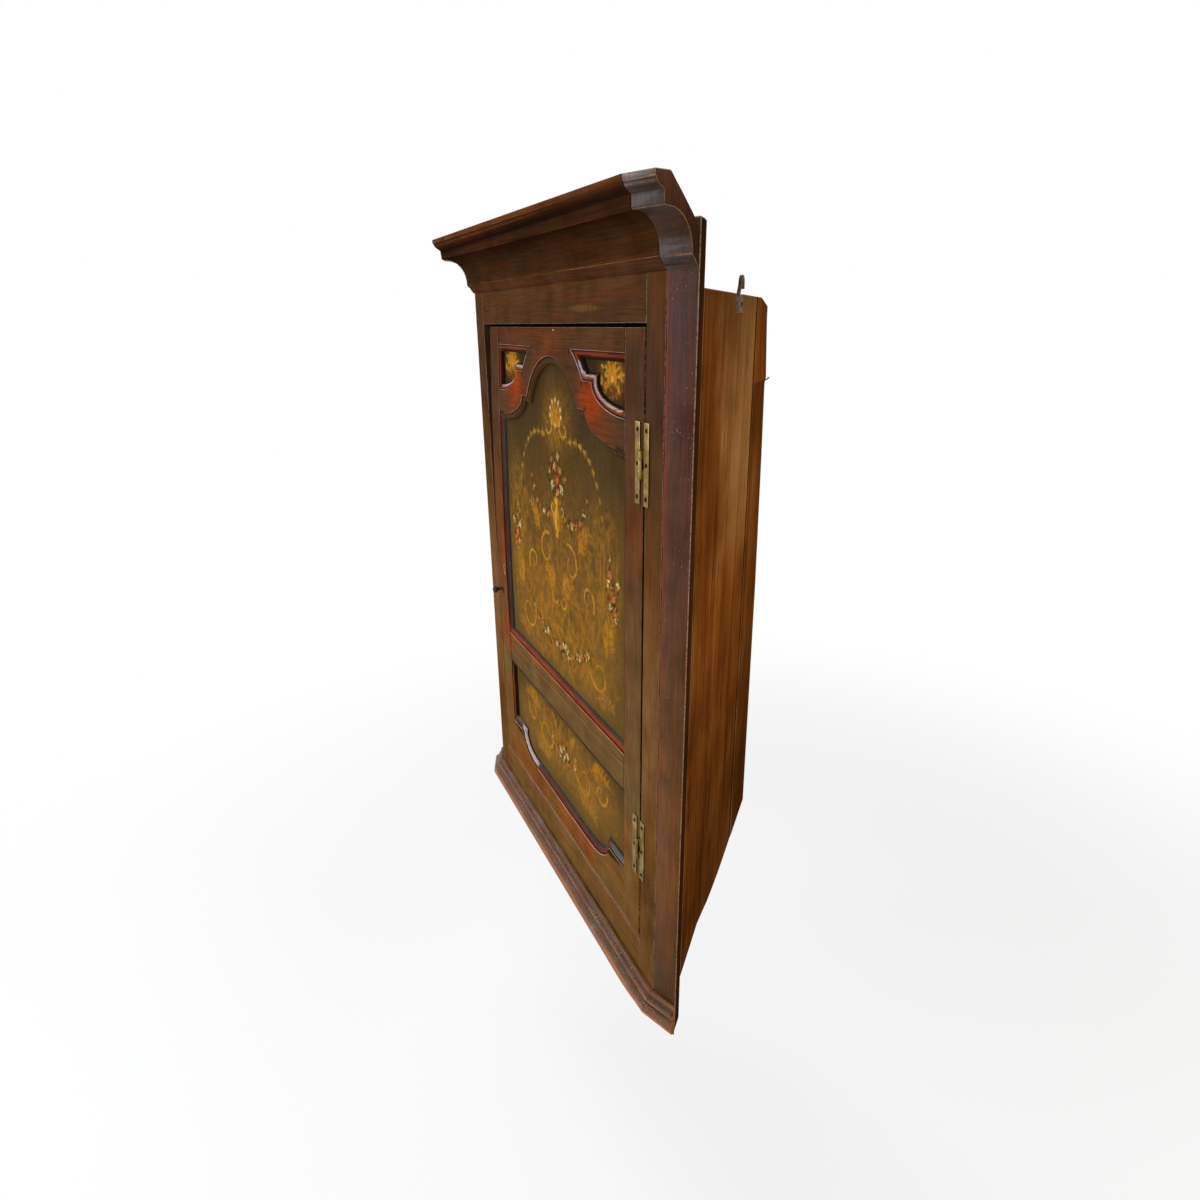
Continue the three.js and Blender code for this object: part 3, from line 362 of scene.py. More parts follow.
def oldPaint(name, paint):
    look = paintLook
    material, tree = startMaterial(name)
    grain = addNode(tree, "ShaderNodeAttribute", attribute_name="grainCoord").outputs["Vector"]
    wear = addNode(tree, "ShaderNodeAttribute", attribute_name="wear").outputs["Fac"]
    hollow = addNode(tree, "ShaderNodeAttribute", attribute_name="hollow").outputs["Fac"]
    trim = addNode(tree, "ShaderNodeAttribute", attribute_name="trim").outputs
    blush = addNode(tree, "ShaderNodeAttribute", attribute_name="blush").outputs["Fac"]
    place = addNode(tree, "ShaderNodeTexCoord").outputs["Object"]
    height = addNode(tree, "ShaderNodeSeparateXYZ", {0: place}).outputs["Z"]
    share = addNode(tree, "ShaderNodeMapRange", {"Value": height, "From Max": cadHigh.z}).outputs[0]
    ground = addNode(tree, "ShaderNodeValToRGB", {"Fac": share}, stops=paint["tints"]).outputs["Color"]

    size = (1 / look["streakAlong"], 1 / look["streakAcross"], 1 / look["streakAcross"])
    along = addNode(tree, "ShaderNodeMapping", {"Vector": grain, "Scale": size}).outputs[0]
    streak = addNode(tree, "ShaderNodeTexNoise",
                     {"Vector": along, "Scale": 1.0, "Detail": 5.0, "Roughness": 0.62}).outputs["Fac"]
    mottle = addNode(tree, "ShaderNodeTexNoise",
                     {"Vector": place, "Scale": 1 / look["mottleSize"], "Detail": 4.0}).outputs["Fac"]
    darkest, lightest = look["streakTone"]
    streakTone = addNode(tree, "ShaderNodeMapRange",
                         {"Value": streak, "From Min": 0.3, "From Max": 0.7,
                          "To Min": darkest, "To Max": lightest})
    darkest, lightest = look["mottleTone"]
    mottleTone = addNode(tree, "ShaderNodeMapRange",
                         {"Value": mottle, "From Min": 0.3, "From Max": 0.7,
                          "To Min": darkest, "To Max": lightest})
    tone = addNode(tree, "ShaderNodeMath",
                   {0: streakTone.outputs[0], 1: mottleTone.outputs[0]}, operation="MULTIPLY")

    # the red-brown first coat shows through in long patches along the grain
    size = (1 / look["undercoatAlong"], 1 / look["undercoatAcross"], 1 / look["undercoatAcross"])
    along = addNode(tree, "ShaderNodeMapping", {"Vector": grain, "Scale": size}).outputs[0]
    patches = addNode(tree, "ShaderNodeTexNoise",
                      {"Vector": along, "Scale": 1.0, "Detail": 3.0}).outputs["Fac"]
    start, full = look["undercoatCover"]
    redness = addNode(tree, "ShaderNodeMapRange",
                      {"Value": patches, "From Min": start, "From Max": full, "To Max": paint["undercoat"]})
    coated = addNode(tree, "ShaderNodeMix",
                     {0: redness.outputs[0], 6: ground, 7: linear(look["undercoat"])}, data_type="RGBA")
    blushed = addNode(tree, "ShaderNodeMix",
                      {0: blush, 6: coated.outputs[2], 7: linear(look["blush"])}, data_type="RGBA")
    trimmed = addNode(tree, "ShaderNodeMix",
                      {0: trim["Alpha"], 6: blushed.outputs[2], 7: trim["Color"]}, data_type="RGBA")
    toned = addNode(tree, "ShaderNodeVectorMath",
                    {0: trimmed.outputs[2], "Scale": tone.outputs[0]}, operation="SCALE")
    # dirt and painted shade darken the hollows and quirks
    soiling = addNode(tree, "ShaderNodeMapRange",
                      {"Value": hollow, "From Min": 0.25, "From Max": 1.0,
                       "To Max": look["soiling"]}).outputs[0]
    soiledAndShaded = addNode(tree, "ShaderNodeMix",
                     {0: soiling, 6: toned.outputs[0], 7: linear(look["dirt"])}, data_type="RGBA")

    # rubbed arrises, broken up by the size of a chip of paint
    chips = addNode(tree, "ShaderNodeTexNoise",
                    {"Vector": place, "Scale": 1 / look["chipSize"], "Detail": 4.0, "Roughness": 0.7})
    start, full = look["chipEdge"]
    bare = addNode(tree, "ShaderNodeMapRange",
                   {"Value": chips.outputs["Fac"], "From Min": start, "From Max": full}).outputs[0]
    start, full = look["wornStretch"]
    stretches = addNode(tree, "ShaderNodeMapRange",
                        {"Value": patches, "From Min": start, "From Max": full,
                         "To Min": paint.get("leastWear", look["leastWear"])}).outputs[0]
    bare = addNode(tree, "ShaderNodeMath", {0: bare, 1: stretches}, operation="MULTIPLY").outputs[0]
    rubbed = addNode(tree, "ShaderNodeMath", {0: wear, 1: bare}, operation="MULTIPLY").outputs[0]
    rubColour = addNode(tree, "ShaderNodeMix",
                        {0: redness.outputs[0], 6: linear(paint.get("rubbed", look["rubbedWood"])),
                         7: linear(look["rubbedRed"])},
                        data_type="RGBA").outputs[2]
    worn = addNode(tree, "ShaderNodeMix",
                   {0: rubbed, 6: soiledAndShaded.outputs[2], 7: rubColour}, data_type="RGBA").outputs[2]
    if "specks" in paint:
        worn = addSpecks(tree, place, height, worn, paint["specks"])
    for mark in paint.get("marks", ()):
        worn = addMark(tree, place, worn, mark)

    low, high = look["roughness"]
    rough = addNode(tree, "ShaderNodeMapRange", {"Value": mottle, "From Min": 0.35, "From Max": 0.65,
                                                 "To Min": low, "To Max": high}).outputs[0]
    bump = addNode(tree, "ShaderNodeBump",
                   {"Height": streak, "Strength": 0.5, "Distance": look["ridge"]}).outputs[0]
    shader = addNode(tree, "ShaderNodeBsdfPrincipled",
                     {"Base Color": worn, "Roughness": rough, "Specular IOR Level": paint["specular"],
                      "Normal": bump})
    addNode(tree, "ShaderNodeOutputMaterial", {0: shader.outputs[0]})
    return material


# Bare oak: sawn and planed boards that were never painted, browned by air and smoke, with black streaks
# along the grain, so they are matt and uneven

bareLook = {
    "streakAlong": 520 * mm,
    "streakAcross": 26 * mm,
    "fineAlong": 70 * mm,
    "fineAcross": 1.6 * mm,
    "stainAlong": 95 * mm,
    "stainAcross": 5 * mm,
    "mottleSize": 130 * mm,
    "roughness": 0.86,
    "ridge": 0.4 * mm,
    "worn": "#b28a5c",
    "stain": "#1e1008",
    "faded": "#8f6538",
    "fadedFrom": (-150 * mm, 0.0),      # the faded stretch of a side, measured back from its seam
    "fadedTo": (-7 * mm, 2 * mm),
    "fadedUp": (0.58, 0.84),
    "wander": 250 * mm,                 # how far the front edge of that stretch strays
    "seamFoot": 430.1 * mm,             # from the canted board to the second board of a side, at the foot
    "seamLean": 0.0388,                 # and how fast the seam comes forward with height
    "seamWidth": 5 * mm,
    "behindSeam": -0.2,                 # how much darker the second board is, and how much paler its patch
    "onPatch": 0.35,
    "patchFoot": 906 * mm,
    "shaded": (31 * mm, 46 * mm),       # painted shade and dirt beside the canted board, and how strong it is
    "shadedCover": 0.82,
    "stainFrom": 0.61,                  # where the black streaks start in their noise, and on a side
    "stainFromOnSide": 0.57,
    "stainEdge": 0.09,
    "stainRise": -0.07,                 # fewer of them high up on a side
    "fadedLeast": 0.35,
    # darker at the foot, and much darker high up, where it is painted shade under the cornice
    "smoked": [(0.0, "#bebebe"), (0.13, "#c4c4c4"), (0.28, "#d4d4d4"), (0.46, "#f0f0f0"), (0.6, "#ffffff"),
               (0.72, "#f4f4f4"), (0.84, "#dedede"), (0.92, "#b0b0b0")],
}


def alongSide(tree, place):
    # how far back a point is along the wall on either side, from level with the front face at the front's
    # outer edge: that is 11 mm before the canted board's edge, from which closed and warped measure, so the
    # painted seam lies 11 mm before the joint of the boards
    axes = addNode(tree, "ShaderNodeSeparateXYZ", {0: place}).outputs
    away = addNode(tree, "ShaderNodeMath", {0: axes["X"]}, operation="ABSOLUTE").outputs[0]
    inward = addNode(tree, "ShaderNodeMath", {0: axes["Y"], 1: away}, operation="SUBTRACT").outputs[0]
    reach = frontReach - faceY
    return addNode(tree, "ShaderNodeMath",
                   {0: inward, 1: diagonal, 2: reach * diagonal}, operation="MULTIPLY_ADD").outputs[0]


def bareOak(name, tints, stainShare=0.85, onSide=False):
    look = bareLook
    material, tree = startMaterial(name)
    grain = addNode(tree, "ShaderNodeAttribute", attribute_name="grainCoord").outputs["Vector"]
    wear = addNode(tree, "ShaderNodeAttribute", attribute_name="wear").outputs["Fac"]
    place = addNode(tree, "ShaderNodeTexCoord").outputs["Object"]
    broad, fine, long = (
        addNode(tree, "ShaderNodeMapping",
                {"Vector": grain, "Scale": (1 / look[kind + "Along"],) + (1 / look[kind + "Across"],) * 2})
        for kind in ("streak", "fine", "stain"))
    streak = addNode(tree, "ShaderNodeTexNoise",
                     {"Vector": broad.outputs[0], "Scale": 1.0, "Detail": 5.0,
                      "Distortion": 0.5}).outputs["Fac"]
    fibre = addNode(tree, "ShaderNodeTexNoise",
                    {"Vector": fine.outputs[0], "Scale": 1.0, "Detail": 4.0}).outputs["Fac"]
    stain = addNode(tree, "ShaderNodeTexNoise",
                    {"Vector": long.outputs[0], "Scale": 1.0, "Detail": 3.0,
                     "Distortion": 0.6}).outputs["Fac"]
    mottle = addNode(tree, "ShaderNodeTexNoise",
                     {"Vector": place, "Scale": 1 / look["mottleSize"], "Detail": 4.0}).outputs["Fac"]
    mingled = addNode(tree, "ShaderNodeMath", {0: streak, 1: mottle}, operation="ADD").outputs[0]
    spread = addNode(tree, "ShaderNodeMapRange",
                     {"Value": mingled, "From Min": 0.66, "From Max": 1.34}).outputs[0]
    wood = addNode(tree, "ShaderNodeValToRGB", {"Fac": spread}, stops=tints).outputs["Color"]
    stainStart = look["stainFromOnSide" if onSide else "stainFrom"]
    if onSide:
        back = alongSide(tree, place)
        height = addNode(tree, "ShaderNodeSeparateXYZ", {0: place}).outputs["Z"]
        past = addNode(tree, "ShaderNodeMath", {0: height, 1: look["seamLean"], 2: back},
                       operation="MULTIPLY_ADD").outputs[0]
        past = addNode(tree, "ShaderNodeMath",
                       {0: past, 1: look["seamFoot"]}, operation="SUBTRACT").outputs[0]
        stray = addNode(tree, "ShaderNodeMath", {0: mottle, 1: look["wander"], 2: past},
                        operation="MULTIPLY_ADD").outputs[0]
        masks = []
        for value, (start, full), flip in ((stray, look["fadedFrom"], False), (past, look["fadedTo"], True),
                                           (height, look["fadedUp"], False)):
            masks.append(addNode(tree, "ShaderNodeMapRange", {
                "Value": value, "From Min": start, "From Max": full, "To Min": float(flip),
                "To Max": float(not flip)}, interpolation_type="SMOOTHSTEP").outputs[0])
        faded = addNode(tree, "ShaderNodeMath", {0: masks[0], 1: masks[1]}, operation="MULTIPLY").outputs[0]
        faded = addNode(tree, "ShaderNodeMath", {0: faded, 1: masks[2]}, operation="MULTIPLY").outputs[0]
        patchy = addNode(tree, "ShaderNodeMapRange", {"Value": mingled, "From Min": 0.7, "From Max": 1.2,
                                                      "To Min": look["fadedLeast"],
                                                      "To Max": 1.0}).outputs[0]
        faded = addNode(tree, "ShaderNodeMath", {0: faded, 1: patchy}, operation="MULTIPLY").outputs[0]
        wood = addNode(tree, "ShaderNodeMix", {0: faded, 6: wood, 7: linear(look["faded"])},
                       data_type="RGBA").outputs[2]
    fibreTone = addNode(tree, "ShaderNodeMapRange",
                        {"Value": fibre, "From Min": 0.3, "From Max": 0.7, "To Min": 0.8, "To Max": 1.2})
    toned = addNode(tree, "ShaderNodeVectorMath", {0: wood, "Scale": fibreTone.outputs[0]}, operation="SCALE")
    if onSide:
        # smoke and painted shade under the cornice, by height
        share = addNode(tree, "ShaderNodeMapRange", {"Value": height, "From Max": cadHigh.z}).outputs[0]
        smokeAndShade = addNode(tree, "ShaderNodeValToRGB", {"Fac": share}, stops=look["smoked"]).outputs["Color"]
        toned = addNode(tree, "ShaderNodeVectorMath", {0: toned.outputs[0], 1: smokeAndShade}, operation="MULTIPLY")
        beyond = addNode(tree, "ShaderNodeMapRange",
                         {"Value": past, "From Max": look["seamWidth"]}).outputs[0]
        patch = addNode(tree, "ShaderNodeMapRange", {
            "Value": height, "From Min": look["patchFoot"], "From Max": look["patchFoot"] + 1 * mm,
            "To Min": look["behindSeam"], "To Max": look["onPatch"]}).outputs[0]
        darker = addNode(tree, "ShaderNodeMath",
                         {0: beyond, 1: patch, 2: 1.0}, operation="MULTIPLY_ADD").outputs[0]
        toned = addNode(tree, "ShaderNodeVectorMath",
                        {0: toned.outputs[0], "Scale": darker}, operation="SCALE")
        stain = addNode(tree, "ShaderNodeMath",
                        {0: height, 1: look["stainRise"], 2: stain}, operation="MULTIPLY_ADD").outputs[0]
    black = addNode(tree, "ShaderNodeMapRange",
                    {"Value": stain, "From Min": stainStart, "From Max": stainStart + look["stainEdge"],
                     "To Max": stainShare}).outputs[0]
    if onSide:
        near = addNode(tree, "ShaderNodeMath", {0: past}, operation="ABSOLUTE").outputs[0]
        crack = addNode(tree, "ShaderNodeMapRange", {
            "Value": near, "From Min": look["seamWidth"] * 0.35, "From Max": look["seamWidth"], "To Min": 1.0,
            "To Max": 0.0}).outputs[0]
        # a dark strip of painted shade and dirt on the side, beside the canted board
        start, full = look["shaded"]
        dirt = addNode(tree, "ShaderNodeMapRange",
                       {"Value": back, "From Min": start, "From Max": full,
                        "To Min": look["shadedCover"], "To Max": 0.0}).outputs[0]
        for mask in (crack, dirt):
            black = addNode(tree, "ShaderNodeMath", {0: black, 1: mask}, operation="MAXIMUM").outputs[0]
    stained = addNode(tree, "ShaderNodeMix",
                      {0: black, 6: toned.outputs[0], 7: linear(look["stain"])}, data_type="RGBA").outputs[2]
    if onSide:
        clear = addNode(tree, "ShaderNodeMapRange",
                        {"Value": near, "From Min": look["seamWidth"] * 0.5,
                         "From Max": look["seamWidth"] * 1.2}).outputs[0]
        wear = addNode(tree, "ShaderNodeMath", {0: wear, 1: clear}, operation="MULTIPLY").outputs[0]
    rubbed = addNode(tree, "ShaderNodeMath", {0: wear, 1: mottle}, operation="MULTIPLY").outputs[0]
    worn = addNode(tree, "ShaderNodeMix",
                   {0: rubbed, 6: stained, 7: linear(look["worn"])}, data_type="RGBA").outputs[2]
    bump = addNode(tree, "ShaderNodeBump",
                   {"Height": fibre, "Strength": 0.6, "Distance": look["ridge"]}).outputs[0]
    shader = addNode(tree, "ShaderNodeBsdfPrincipled",
                     {"Base Color": worn, "Roughness": look["roughness"], "Specular IOR Level": 0.0,
                      "Normal": bump})
    addNode(tree, "ShaderNodeOutputMaterial", {0: shader.outputs[0]})
    return material


# Metals: yellow cast brass gone brown in its hollows, and blackened wrought iron with rust

metalLook = {
    "agedBrass": {"tints": [(0.0, "#5f4a20"), (0.5, "#8a7034"), (0.8, "#a68f4e"), (1.0, "#c6b787")],
                  "grain": 16 * mm, "metallic": 1.0, "roughness": (0.38, 0.5), "specular": 0.5},
    "rustedIron": {"tints": [(0.0, "#2a1a10"), (0.4, "#46301c"), (0.7, "#654626"), (1.0, "#8d6f4c")],
                   "grain": 6 * mm, "metallic": 0.15, "roughness": (0.55, 0.8), "specular": 0.1},
    "rustedSteel": {"tints": [(0.0, "#0e0906"), (0.6, "#24160d"), (1.0, "#4a2e1a")],
                    "grain": 2 * mm, "metallic": 0.1, "roughness": (0.5, 0.8), "specular": 0.1},
}
edgeShine = 0.35        # how much brighter the handled edges are


def oldMetal(name):
    look = metalLook[name]
    material, tree = startMaterial(name)
    place = addNode(tree, "ShaderNodeTexCoord").outputs["Object"]
    wear = addNode(tree, "ShaderNodeAttribute", attribute_name="wear").outputs["Fac"]
    patina = addNode(tree, "ShaderNodeTexNoise",
                     {"Vector": place, "Scale": 1 / look["grain"], "Detail": 4.0,
                      "Roughness": 0.5}).outputs["Fac"]
    lifted = addNode(tree, "ShaderNodeMath",
                     {0: wear, 1: edgeShine, 2: patina}, operation="MULTIPLY_ADD").outputs[0]
    spread = addNode(tree, "ShaderNodeMapRange",
                     {"Value": lifted, "From Min": 0.3, "From Max": 0.85}).outputs[0]
    tint = addNode(tree, "ShaderNodeValToRGB", {"Fac": spread}, stops=look["tints"]).outputs["Color"]
    low, high = look["roughness"]
    rough = addNode(tree, "ShaderNodeMapRange", {"Value": patina, "To Min": high, "To Max": low}).outputs[0]
    shader = addNode(tree, "ShaderNodeBsdfPrincipled",
                     {"Base Color": tint, "Metallic": look["metallic"], "Roughness": rough,
                      "Specular IOR Level": look["specular"]})
    addNode(tree, "ShaderNodeOutputMaterial", {0: shader.outputs[0]})
    return material


materials = {name: oldPaint(name, paint) for name, paint in paints.items()}
materials["sideOak"] = bareOak(
    "sideOak", [(0.0, "#4a2409"), (0.4, "#633510"), (0.65, "#713f15"), (1.0, "#7e4f28")], 0.92, onSide=True)
materials["sawnOak"] = bareOak("sawnOak", [(0.0, "#22140c"), (0.5, "#372115"), (1.0, "#4c3020")])
materials["innerOak"] = bareOak(
    "innerOak", [(0.0, "#3f2412"), (0.4, "#6a4422"), (0.75, "#85592e"), (1.0, "#9c7446")], stainShare=0.5)
for metalName in metalLook:
    materials[metalName] = oldMetal(metalName)
print("materials made")


# Dressing a board: its CAD mesh is copied and merged, its arrises are eased and cut into short lengths, which
# are knocked in here and there as on an old board

def camel(nodeName):
    first, *rest = nodeName.split("_")
    return first + "".join(word.capitalize() for word in rest)


def boardAxes(points):
    # along, across and through the board, from its own extents
    flat = points[:, :2] - points[:, :2].mean(0)
    main = np.linalg.eigh(flat.T @ flat)[1][:, 1]
    axes = np.array([[main[0], main[1], 0], [-main[1], main[0], 0], [0, 0, 1.0]])
    reach = [np.ptp(points @ axis) for axis in axes]
    return axes[np.argsort(reach)[::-1]]


def setPointData(mesh, name, kind, values):
    attribute = mesh.attributes.get(name) or mesh.attributes.new(name, kind, "POINT")
    field = {"FLOAT": "value", "FLOAT_VECTOR": "vector", "FLOAT_COLOR": "color"}[kind]
    attribute.data.foreach_set(field, np.asarray(values, np.float32).ravel())


def meshPoints(mesh):
    points = np.zeros(len(mesh.vertices) * 3)
    mesh.vertices.foreach_get("co", points)
    return points.reshape(-1, 3)


cantCorner = {
    "start": (360.0 * mm, -415.3 * mm),                 # the right canted face begins here and goes that way
    "along": (0.9318, 0.3629),
    "mitre": (0.9828, 0.1846),                          # across the mitre of the mouldings
    "mitreReach": 0.5 * mm,                             # what lies this near belongs to the mitre
}


def inMitre(part):
    # whether an arris or face lies in the joint between the front length of a moulding and its return
    startX, startY = cantCorner["start"]
    acrossX, acrossY = cantCorner["mitre"]
    oneEnd = part.verts[0].co.x * part.verts[1].co.x > 0
    away = [abs((abs(v.co.x) - startX) * acrossX + (v.co.y - startY) * acrossY) for v in part.verts]
    return oneEnd and max(away) < cantCorner["mitreReach"]


def easeArrises(bm, width, mitred, wornEnds):
    wear = bm.verts.layers.float.new("wear")
    bent = [e for e in bm.edges if e.is_manifold and e.calc_face_angle(0) > sharpAngle]
    arrises = [e for e in bent if e.is_convex and not (mitred and inMitre(e))]
    made = bmesh.ops.bevel(bm, geom=arrises, offset=width, offset_type="OFFSET", segments=2, profile=0.5,
                           affect="EDGES", clamp_overlap=False)
    fresh = set(made["faces"])
    for vert in made["verts"]:
        if vert.is_valid and all(face in fresh or wornEnds and inMitre(face) for face in vert.link_faces):
            vert[wear] = 1.0


def markHollows(bm):
    # dirt and painted shade lie along the inner edges, except those that run straight into the front face
    hollow = bm.verts.layers.float.new("hollow")
    for edge in bm.edges:
        if edge.is_manifold and not edge.is_convex and edge.calc_face_angle(0) > sharpAngle:
            run = (edge.verts[0].co - edge.verts[1].co).normalized()
            if abs(run.y) < 0.8:
                for vert in edge.verts:
                    vert[hollow] = 1.0


def cutAt(bm, axis, place):
    everything = bm.verts[:] + bm.edges[:] + bm.faces[:]
    bmesh.ops.bisect_plane(bm, geom=everything, dist=1e-6, plane_co=axis * place, plane_no=axis)


def cutIntoLengths(bm, axis, step):
    bmesh.ops.triangulate(bm, faces=[face for face in bm.faces if len(face.verts) > 4])
    axis = Vector(axis)
    reach = [v.co.dot(axis) for v in bm.verts]
    place = min(reach) + step * 0.5
    while place < max(reach):
        cutAt(bm, axis, place)
        place += step


def scribeLine(bm, height, width, depth):
    # a line scratched level across the front of a board
    front = min(v.co.y for v in bm.verts)
    for offset in (-0.5, 0, 0.5):
        cutAt(bm, Vector((0, 0, 1)), height + offset * width)
    for vert in bm.verts:
        if abs(vert.co.z - height) < width * 0.1 and vert.co.y < front + 0.1 * mm:
            vert.co.y += depth


dents = {
    "spacing": 30 * mm,
    "leastWear": 0.6,       # what is worn less has no dents
    "share": 0.12,          # more of them, the higher this is
}


def knockIn(bm, depth):
    # small dents in the worn arrises, by a fixed noise
    wear = bm.verts.layers.float["wear"]
    bm.normal_update()
    for vert in bm.verts:
        if vert[wear] > dents["leastWear"]:
            knock = max(0.0, noise.noise(vert.co / dents["spacing"]) + dents["share"])
            vert.co -= vert.normal * depth * knock


smoothAngle = math.radians(32)      # what bends less is shaded as one curve


def finishPiece(mesh, name, node):
    mesh.set_sharp_from_angle(angle=smoothAngle)
    dressed = addObject(name, mesh)
    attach(dressed, frame["nodes"][node]["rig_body"])
    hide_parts(node)


grainShift = np.array([1.37, 0.61, 0.83])       # each board comes from another stretch of another tree
facing = {"back": 0.5, "end": 0.8, "trim": 0.55}        # from what share on a face has that finish


def dressBoard(node, order, finish, ease, lengths, dent=0.0, backFinish=None, reshape=None,
               trimOf=None, trimFinish=None, blushOf=None, extraCuts=(), scribed=None, endFinish=None):
    mesh = frame["nodes"][node].data.copy()
    mesh.name = camel(node)
    bm = bmesh.new()
    bm.from_mesh(mesh)
    bmesh.ops.remove_doubles(bm, verts=bm.verts, dist=1e-5)
    bmesh.ops.dissolve_limit(bm, angle_limit=math.radians(1), verts=bm.verts, edges=bm.edges)
    bmesh.ops.triangulate(bm, faces=bm.faces[:])
    axes = boardAxes(np.array([v.co for v in bm.verts]))
    easeArrises(bm, ease, mitred=node.startswith(("cornice", "base")), wornEnds=node.startswith("base"))
    for axis, step in lengths:
        cutIntoLengths(bm, axes[0] if axis == "along" else axis, step)
    for height in extraCuts:
        cutAt(bm, Vector((0, 0, 1)), height)
    if scribed:
        scribeLine(bm, *scribed)
    markHollows(bm)
    if dent:
        knockIn(bm, dent)
    bm.to_mesh(mesh)
    bm.free()
    points = meshPoints(mesh)
    local = points @ axes.T
    middle = (local.max(0) + local.min(0)) / 2
    setPointData(mesh, "grainCoord", "FLOAT_VECTOR", local - middle + order * grainShift)
    trims = trimOf(points) if trimOf else np.zeros((len(points), 4))
    setPointData(mesh, "trim", "FLOAT_COLOR", trims)
    setPointData(mesh, "blush", "FLOAT", blushOf(points) if blushOf else np.zeros(len(points)))
    mesh.materials.clear()
    for each in filter(None, (finish, backFinish, trimFinish or endFinish)):
        mesh.materials.append(materials[each])
    for face in mesh.polygons:
        face.material_index = 1 if backFinish and face.normal.y > facing["back"] else 0
        moulded = trimFinish and trims[list(face.vertices), 3].mean() > facing["trim"]
        if moulded and face.material_index == 0:
            face.material_index = 2
        if endFinish and abs(face.normal.x) > facing["end"]:
            face.material_index = 2
    if reshape:
        mesh.vertices.foreach_set("co", reshape(points).ravel())
    mesh.update()
    finishPiece(mesh, camel(node), node)


# The case: face frame, canted boards, sides, inside boards and mouldings

caseBoards = {
    "face": {"nodes": ["frame_rail_top", "frame_rail_bottom", "frame_stile_left", "frame_stile_right"],
             "finish": "faceFramePaint", "back": "innerOak", "ease": 1.1 * mm, "length": 16 * mm,
             "dent": 0.8 * mm},
    "cants": {"nodes": ["cant_board_left", "cant_board_right"],
              "finish": "cantPaint", "back": "sideOak", "ease": 1.7 * mm, "length": 9 * mm, "dent": 1.6 * mm},
    "cornice": {"nodes": ["cornice_front"], "finish": "cornicePaint", "back": "innerOak", "ease": 1.0 * mm,
                "length": 12 * mm, "dent": 1.4 * mm},
    "returns": {"nodes": ["cornice_return_left", "cornice_return_right"], "finish": "returnPaint",
                "back": "innerOak", "end": "sawnOak", "ease": 1.0 * mm, "length": 6 * mm, "dent": 1.6 * mm},
    "base": {"nodes": ["base_moulding_front", "base_moulding_return_left", "base_moulding_return_right"],
             "finish": "basePaint", "back": "innerOak", "ease": 1.1 * mm, "length": 7 * mm, "dent": 2.2 * mm},
}
bareBoards = {
    "sides": {"nodes": ["side_board_left", "side_board_right", "rear_board_left", "rear_board_right"],
              "finish": "sideOak", "ease": 1.2 * mm, "length": 12 * mm, "dent": 2.0 * mm},
    "inside": {"nodes": ["corner_post", "bottom_board", "top_board", "shelf_lower", "shelf_upper",
                         "cleat_lower_left", "cleat_lower_right", "cleat_upper_left", "cleat_upper_right",
                         "cleat_bottom_left", "cleat_bottom_right", "turn_button"],
               "finish": "innerOak", "ease": 0.9 * mm, "length": 40 * mm, "dent": 0.8 * mm},
}


corniceLean = {
    "forwardFoot": 3 * mm,
    "forwardTop": 11 * mm,
    "upFoot": 2.3 * mm,
    "upTop": 7 * mm,
    "held": 1 * mm,                     # what lies this near the case stays on it
    "freeFoot": 9 * mm,
    "freeTop": 55 * mm,
}


def outsideCase(points, side):
    # how far points stand out from the front, or from the canted face on one side
    (startX, startY), (alongX, alongY) = cantCorner["start"], cantCorner["along"]
    fromCant = alongY * (side * points[:, 0] - startX) - alongX * (points[:, 1] - startY)
    return np.maximum(faceY - points[:, 1], fromCant)


def leaned(points):
    # the cornice stands further forward and higher at its left end, and its back still lies on the case
    low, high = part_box("cornice_front")
    toLeft = np.clip((high.x - points[:, 0]) / (high.x - low.x), 0, 1.05)
    rise = np.clip((points[:, 2] - low.z) / (high.z - low.z), 0, 1)
    outside = outsideCase(points, -1)
    depth = corniceLean["freeFoot"] * (1 - rise) + corniceLean["freeTop"] * rise
    free = np.clip((outside - corniceLean["held"]) / depth, 0, 1)
    forward = corniceLean["forwardFoot"] * (1 - rise) + corniceLean["forwardTop"] * rise
    moved = points.copy()
    moved[:, 1] -= toLeft * free * forward
    moved[:, 2] += toLeft * (corniceLean["upFoot"] * (1 - rise) + corniceLean["upTop"] * rise)
    return moved


footWear = {
    "along": (285 * mm, 360 * mm),
    "turn": (330 * mm, 390 * mm),
    "reach": 20 * mm,
    "height": 24 * mm,
    "up": 6.5 * mm,
    "inward": 8 * mm,
}


def wornFoot(points):
    # the foot of the base moulding is knocked round at its right corner
    start, full = footWear["along"]
    near = np.clip((points[:, 0] - start) / (full - start), 0, 1)
    low = np.clip(1 - points[:, 2] / footWear["height"], 0, 1)
    share = near ** 2 * low * np.clip(outsideCase(points, 1) / footWear["reach"], 0, 1)
    start, full = footWear["turn"]
    turned = np.clip((points[:, 0] - start) / (full - start), 0, 1) * math.asin(cantCorner["along"][1])
    moved = points.copy()
    moved[:, 0] -= share * footWear["inward"] * np.sin(turned)
    moved[:, 1] += share * footWear["inward"] * np.cos(turned)
    moved[:, 2] += share * footWear["up"]
    return moved


rearStep = {
    "height": bareLook["patchFoot"],
    "ledge": 1.0 * mm,
    "tighten": 0.35 * mm,
    "atSeam": 2 * mm,
    "levels": [0, 780, 905.5, 907, 1000],               # mm up
    "outward": [2.6, 2.0, 1.2, 3.4, 0.2],               # mm that the far edge stands out at each
    "from": 400 * mm,
    "to": 500 * mm,
}


def alongWall(points, side):
    # how far back from the canted board points lie, along the wall on one side
    return (points[:, 1] - side * points[:, 0] + 2 * frontReach) * diagonal


